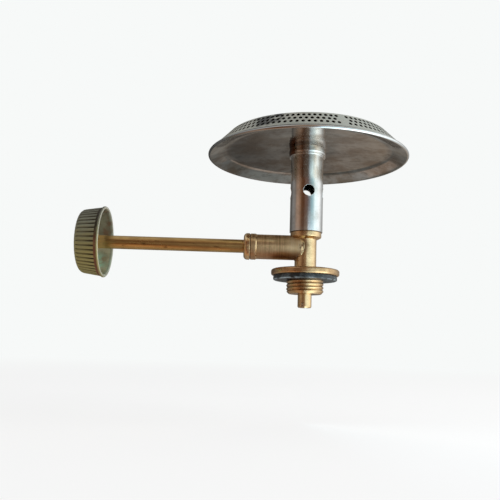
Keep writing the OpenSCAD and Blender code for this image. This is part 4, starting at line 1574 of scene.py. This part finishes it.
class Tones:
    """Tones of the cards: turns in degrees, counted from the front towards +X, and the colours there."""

    BROWN: ToneTable = (
        (-84, (0.34, 0.24, 0.18)), (-66, (0.42, 0.28, 0.2)), (-52, (0.33, 0.19, 0.12)),
        (-38, (0.13, 0.055, 0.025)), (-22, (0.1, 0.04, 0.02)), (-12, (0.16, 0.09, 0.065)),
        (5, (0.145, 0.1, 0.09)))
    TEAL: ToneTable = (
        (5, (0.15, 0.11, 0.1)), (16, (0.2, 0.21, 0.23)), (36, (0.36, 0.58, 0.64)), (46, (0.6, 0.82, 0.86)))
    RIGHT: ToneTable = (
        (46, (0.6, 0.82, 0.86)), (56, (1.15, 1.36, 1.4)), (96, (1.3, 1.33, 1.34)),
        (112, (0.82, 0.85, 0.86)), (130, (0.5, 0.51, 0.51)), (180, (0.24, 0.225, 0.2)))
    LEFT: ToneTable = (
        (180, (0.24, 0.225, 0.2)), (222, (0.09, 0.085, 0.08)), (250, (0.26, 0.25, 0.24)),
        (276, (0.24, 0.2, 0.175)))
    ROOM: ToneTable = (
        (0, (0.38, 0.26, 0.165)), (80, (0.6, 0.6, 0.58)), (140, (0.78, 0.83, 0.82)),
        (180, (0.52, 0.54, 0.52)), (215, (0.42, 0.43, 0.41)), (270, (0.66, 0.67, 0.67)),
        (325, (0.62, 0.6, 0.58)), (345, (0.38, 0.26, 0.165)), (360, (0.38, 0.26, 0.165)))
    FRONT: ToneTable = (
        (0, (0.25, 0.22, 0.2)), (6, (0.3, 0.3, 0.32)), (14, (0.7, 0.95, 1.1)),
        (36, (1.5, 2.0, 2.15)), (58, (2.5, 2.8, 2.8)), (84, (1.6, 1.8, 1.85)),
        (110, (0.7, 0.75, 0.76)), (140, (0.44, 0.39, 0.34)))
    NEAR_BACK: ToneTable = (
        (163, (0.28, 0.28, 0.26)), (172.5, (0.2, 0.215, 0.21)), (178.5, (0.33, 0.32, 0.31)),
        (192, (0.3, 0.28, 0.26)))
    MID_BACK: ToneTable = (
        (163, (0.28, 0.27, 0.25)), (172.5, (0.17, 0.18, 0.178)), (176, (0.2, 0.2, 0.19)),
        (178, (0.48, 0.41, 0.36)), (179.5, (0.48, 0.41, 0.36)), (182, (0.17, 0.16, 0.145)),
        (192, (0.12, 0.115, 0.11)))
    FAR_BACK: ToneTable = (
        (163, (0.38, 0.32, 0.26)), (172.5, (0.29, 0.26, 0.23)), (174.5, (0.18, 0.18, 0.17)),
        (178, (0.2, 0.187, 0.17)), (182, (0.14, 0.132, 0.122)), (192, (0.072, 0.075, 0.074)))
    SIDE: ToneTable = (
        (240, (0.24, 0.22, 0.2)), (276, (0.34, 0.25, 0.18)), (294, (0.42, 0.28, 0.2)),
        (308, (0.33, 0.19, 0.12)), (322, (0.13, 0.055, 0.025)), (346, (0.22, 0.175, 0.145)),
        (360, (0.25, 0.22, 0.2)))
    SILL: ToneTable = (
        (-84, (0.36, 0.3, 0.26)), (-58, (0.36, 0.29, 0.24)), (-40, (0.19, 0.13, 0.095)),
        (-24, (0.15, 0.1, 0.075)), (-15, (0.3, 0.235, 0.175)), (4, (0.34, 0.28, 0.22)),
        (9, (1.0, 1.15, 1.25)), (50, (1.2, 1.4, 1.5)))
    GLINT: ToneTable = ((9, (1.2, 1.5, 1.65)), (50, (1.5, 1.9, 2.1)), (104, (1.2, 1.4, 1.5)))


@dataclass
class Card:
    """Curved card of the studio that only mirrors show, tinted from tone to tone round the part."""

    name: str
    tones: ToneTable
    outline: Sequence[CardRow]
    step: float = 4.0

    def tone(self, turn: float) -> Colour:
        """Colour at a turn, between the tones on either side of it."""
        for (low, first), (high, second) in zip(self.tones, self.tones[1:]):
            if turn <= high:
                share = (turn - low) / (high - low)
                return tuple(Vector(first).lerp(Vector(second), max(0.0, share)))
        return self.tones[-1][1]

    def build(self) -> bpy.types.Object:
        """Builds the card along its outline of radius, height and level of tone."""
        first, last = self.tones[0][0], self.tones[-1][0]
        columns = math.ceil((last - first) / self.step)
        points, faces, shades = [], [], []
        rows = len(self.outline)
        for i in range(columns + 1):
            turn = first + (last - first) * i / columns
            across, ahead = math.sin(math.radians(turn)), -math.cos(math.radians(turn))
            for reach, height, level in self.outline:
                points.append(Vector((reach * across, reach * ahead, height)) * MM)
                shades.append((*(Vector(self.tone(turn)) * level), 1.0))
        for i in range(columns):
            for k in range(rows - 1):
                at = i * rows + k
                faces.append((at, at + rows, at + rows + 1, at + 1))
        card = make_object(self.name, points, faces)
        attribute = card.data.color_attributes.new(TONE_LAYER, "FLOAT_COLOR", "POINT")
        for slot, shade in zip(attribute.data, shades):
            slot.color = shade
        return card


@dataclass
class Studio:
    """Pale floor, soft light, cards that the metal mirrors, and a white world."""

    floor_z: float = -60.0
    floor_r: float = 3000.0
    floor_steps: int = 96
    floor_fade: Point = (200.0, 900.0)
    floor_lift: float = 0.72
    floor_dim: Colour = (0.91, 0.925, 0.92)
    floor_pale: Colour = (0.94, 0.955, 0.95)
    mottle: float = 60.0
    white: Colour = (0.93, 0.947, 0.94)
    fill: Colour = (0.5, 0.5, 0.5)
    aim: Place = (0.0, 0.0, 30.0)
    window_size: Point = (600.0, 800.0)
    window_turn: float = 78.0
    window_z: float = 280.0
    window_reach: float = 620.0
    window_power: float = 3.8
    top_at: Place = (100.0, 150.0, 900.0)
    top_size: Point = (800.0, 800.0)
    top_power: float = 1.2
    wall: tuple[CardRow, ...] = ((520, -60, 1), (520, 420, 1))
    ceiling: tuple[CardRow, ...] = ((520, 420, 1), (330, 560, 1), (60, 620, 1), (0.5, 622, 1))
    near_ground: tuple[CardRow, ...] = ((0.5, -59, 1.3), (100, -59, 1.3), (130, -59, 1.15))
    mid_ground: tuple[CardRow, ...] = ((130, -59, 1.15), (160, -59, 1), (235, -59, 1))
    far_ground: tuple[CardRow, ...] = (
        (235, -59, 0.9), (310, -59, 1), (327, -59, 0.8), (342, -59, 0.72), (358, -59, 0.85),
        (375, -59, 1.05), (420, -59, 1), (1500, -59, 1))
    ground_step: float = 1.0
    sill: tuple[CardRow, ...] = ((512, -60, 1), (512, 108, 1), (512, 116, 0.4))
    glint: tuple[CardRow, ...] = ((506, 67, 1), (506, 106, 1))

    def build(self) -> None:
        """Sets up floor, lamps, cards and world."""
        self.floor()
        self.lamps()
        for card in self.cards():
            self.hide(card.build())
        self.world()

    def cards(self) -> list[Card]:
        """Walls, ceiling, three rings of ground, and the sill with its glint."""
        grounds = (("near", Tones.NEAR_BACK, self.near_ground), ("mid", Tones.MID_BACK, self.mid_ground),
                   ("far", Tones.FAR_BACK, self.far_ground))
        return [
            Card("card_brown", Tones.BROWN, self.wall),
            Card("card_teal", Tones.TEAL, self.wall),
            Card("card_right", Tones.RIGHT, self.wall),
            Card("card_left", Tones.LEFT, self.wall),
            Card("card_ceiling", Tones.ROOM, self.ceiling),
            *(Card(f"card_{name}_ground", Tones.FRONT + back + Tones.SIDE, rows, self.ground_step)
              for name, back, rows in grounds),
            Card("card_sill", Tones.SILL, self.sill),
            Card("card_glint", Tones.GLINT, self.glint),
        ]

    def emission(self, name: str) -> bpy.types.Material:
        """Material that glows in the tones stored on a card."""
        material = bpy.data.materials.new(name)
        nodes = NodeTree(material)
        tone = nodes.add("ShaderNodeVertexColor", {"layer_name": TONE_LAYER}).outputs["Color"]
        glow = nodes.add("ShaderNodeEmission", Color=tone).outputs["Emission"]
        nodes.add("ShaderNodeOutputMaterial", Surface=glow)
        material.cycles.emission_sampling = "NONE"
        return material

    def hide(self, card: bpy.types.Object) -> None:
        """Leaves a card to mirrors alone, so that it lights nothing and casts no shadow."""
        card.data.materials.append(self.emission(card.name))
        card.visible_camera = card.visible_diffuse = card.visible_shadow = False
        card.visible_transmission = card.visible_volume_scatter = False

    def floor(self) -> None:
        """Round pale floor that fades into the white world, keeps the shadow and is clear from below."""
        turns = [math.tau * i / self.floor_steps for i in range(self.floor_steps)]
        points = [Axis.TUBE.point(self.floor_r, turn, self.floor_z) for turn in turns]
        floor = make_object("floor", points, [tuple(range(self.floor_steps))])
        s = NodeSheet("floor_pale")
        mottle = s.grain(self.mottle, 3)
        s.colour = s.tint(mottle, self.floor_dim, self.floor_pale)
        s.close(0.9, 0.0, s.relief((mottle, 0.05)))
        radius = s.radius(Axis.TUBE)
        tone = s.tint(s.span(radius, *self.floor_fade), (1.0, 1.0, 1.0), self.white)
        glow = s.add("ShaderNodeEmission", Color=tone, Strength=1.0).outputs["Emission"]
        seen = s.add("ShaderNodeLightPath").outputs["Is Camera Ray"]
        share = s.times(seen, s.span(radius, *self.floor_fade, self.floor_lift, 1.0))
        pale = s.blend(share, s.shader.outputs["BSDF"], glow)
        under = s.add("ShaderNodeNewGeometry").outputs["Backfacing"]
        clear = s.add("ShaderNodeBsdfTransparent").outputs["BSDF"]
        s.feed(s.output.inputs["Surface"], s.blend(under, pale, clear))
        floor.data.materials.append(s.material)

    def lamp(self, name: str, place: Vector, size: Point, power: float) -> None:
        """Adds a soft rectangular lamp that faces the part; the cards stand for it in mirrors."""
        light = bpy.data.lights.new(name, "AREA")
        light.shape, light.energy = "RECTANGLE", power
        light.size, light.size_y = size[0] * MM, size[1] * MM
        lamp = add_object(name, light)
        lamp.location = place * MM
        lamp.rotation_mode = "QUATERNION"
        lamp.rotation_quaternion = (Vector(self.aim) - place).to_track_quat("-Z", "Y")
        lamp.visible_glossy = False

    def lamps(self) -> None:
        """Window-like lamp at the right front, and a weak one overhead."""
        turn = math.radians(self.window_turn)
        across, ahead = self.window_reach * math.sin(turn), -self.window_reach * math.cos(turn)
        self.lamp("window", Vector((across, ahead, self.window_z)), self.window_size, self.window_power)
        self.lamp("overhead", Vector(self.top_at), self.top_size, self.top_power)

    def world(self) -> None:
        """White world for the camera and for mirrors, and a plain level for the rest."""
        world = bpy.data.worlds.new("studio")
        bpy.context.scene.world = world
        nodes = NodeTree(world)
        rays = nodes.add("ShaderNodeLightPath").outputs
        seen = nodes.most(*(rays[f"Is {kind} Ray"] for kind in ("Camera", "Glossy", "Transmission")))
        plain = nodes.add("ShaderNodeBackground", Color=self.fill).outputs["Background"]
        white = nodes.add("ShaderNodeBackground", Color=self.white).outputs["Background"]
        nodes.add("ShaderNodeOutputWorld", Surface=nodes.blend(seen, plain, white))
        bpy.context.scene.view_settings.view_transform = "Standard"


@dataclass
class PhotoCamera:
    """Camera at the photograph's viewing angle."""

    place: Place = (-22.046, -275.186, -27.677)
    target: Place = (-24.177, 0.0, 12.7)
    roll: float = 1.882
    lens: float = 45.98
    sensor: float = 36.0
    clip_m: Point = (0.01, 20.0)

    def build(self) -> None:
        """Adds the camera and makes it the scene's."""
        data = bpy.data.cameras.new("photo_view")
        data.lens, data.sensor_width, data.sensor_fit = self.lens, self.sensor, "HORIZONTAL"
        data.clip_start, data.clip_end = self.clip_m
        camera = add_object("photo_view", data)
        ahead = (Vector(self.target) - Vector(self.place)).normalized()
        right = ahead.cross(Vector((0, 0, 1))).normalized()
        up = right.cross(ahead)
        roll = math.radians(self.roll)
        turned = right * math.cos(roll) + up * math.sin(roll)
        axes = Matrix((turned, ahead.cross(turned) * -1, -ahead)).transposed()
        camera.matrix_world = Matrix.Translation(Vector(self.place) * MM) @ axes.to_4x4()
        bpy.context.scene.camera = camera


def main() -> None:
    """Builds every sub-assembly, the studio and the camera, and reports each piece."""
    logging.basicConfig(level=logging.INFO, format="%(message)s")
    PhotoCamera().build()
    for part in (CylinderConnection(), ValveBody(), Spindle(), Knob(), MixingTube(), BurnerHead()):
        part.build()
    Studio().build()


if __name__ == "__main__":
    main()
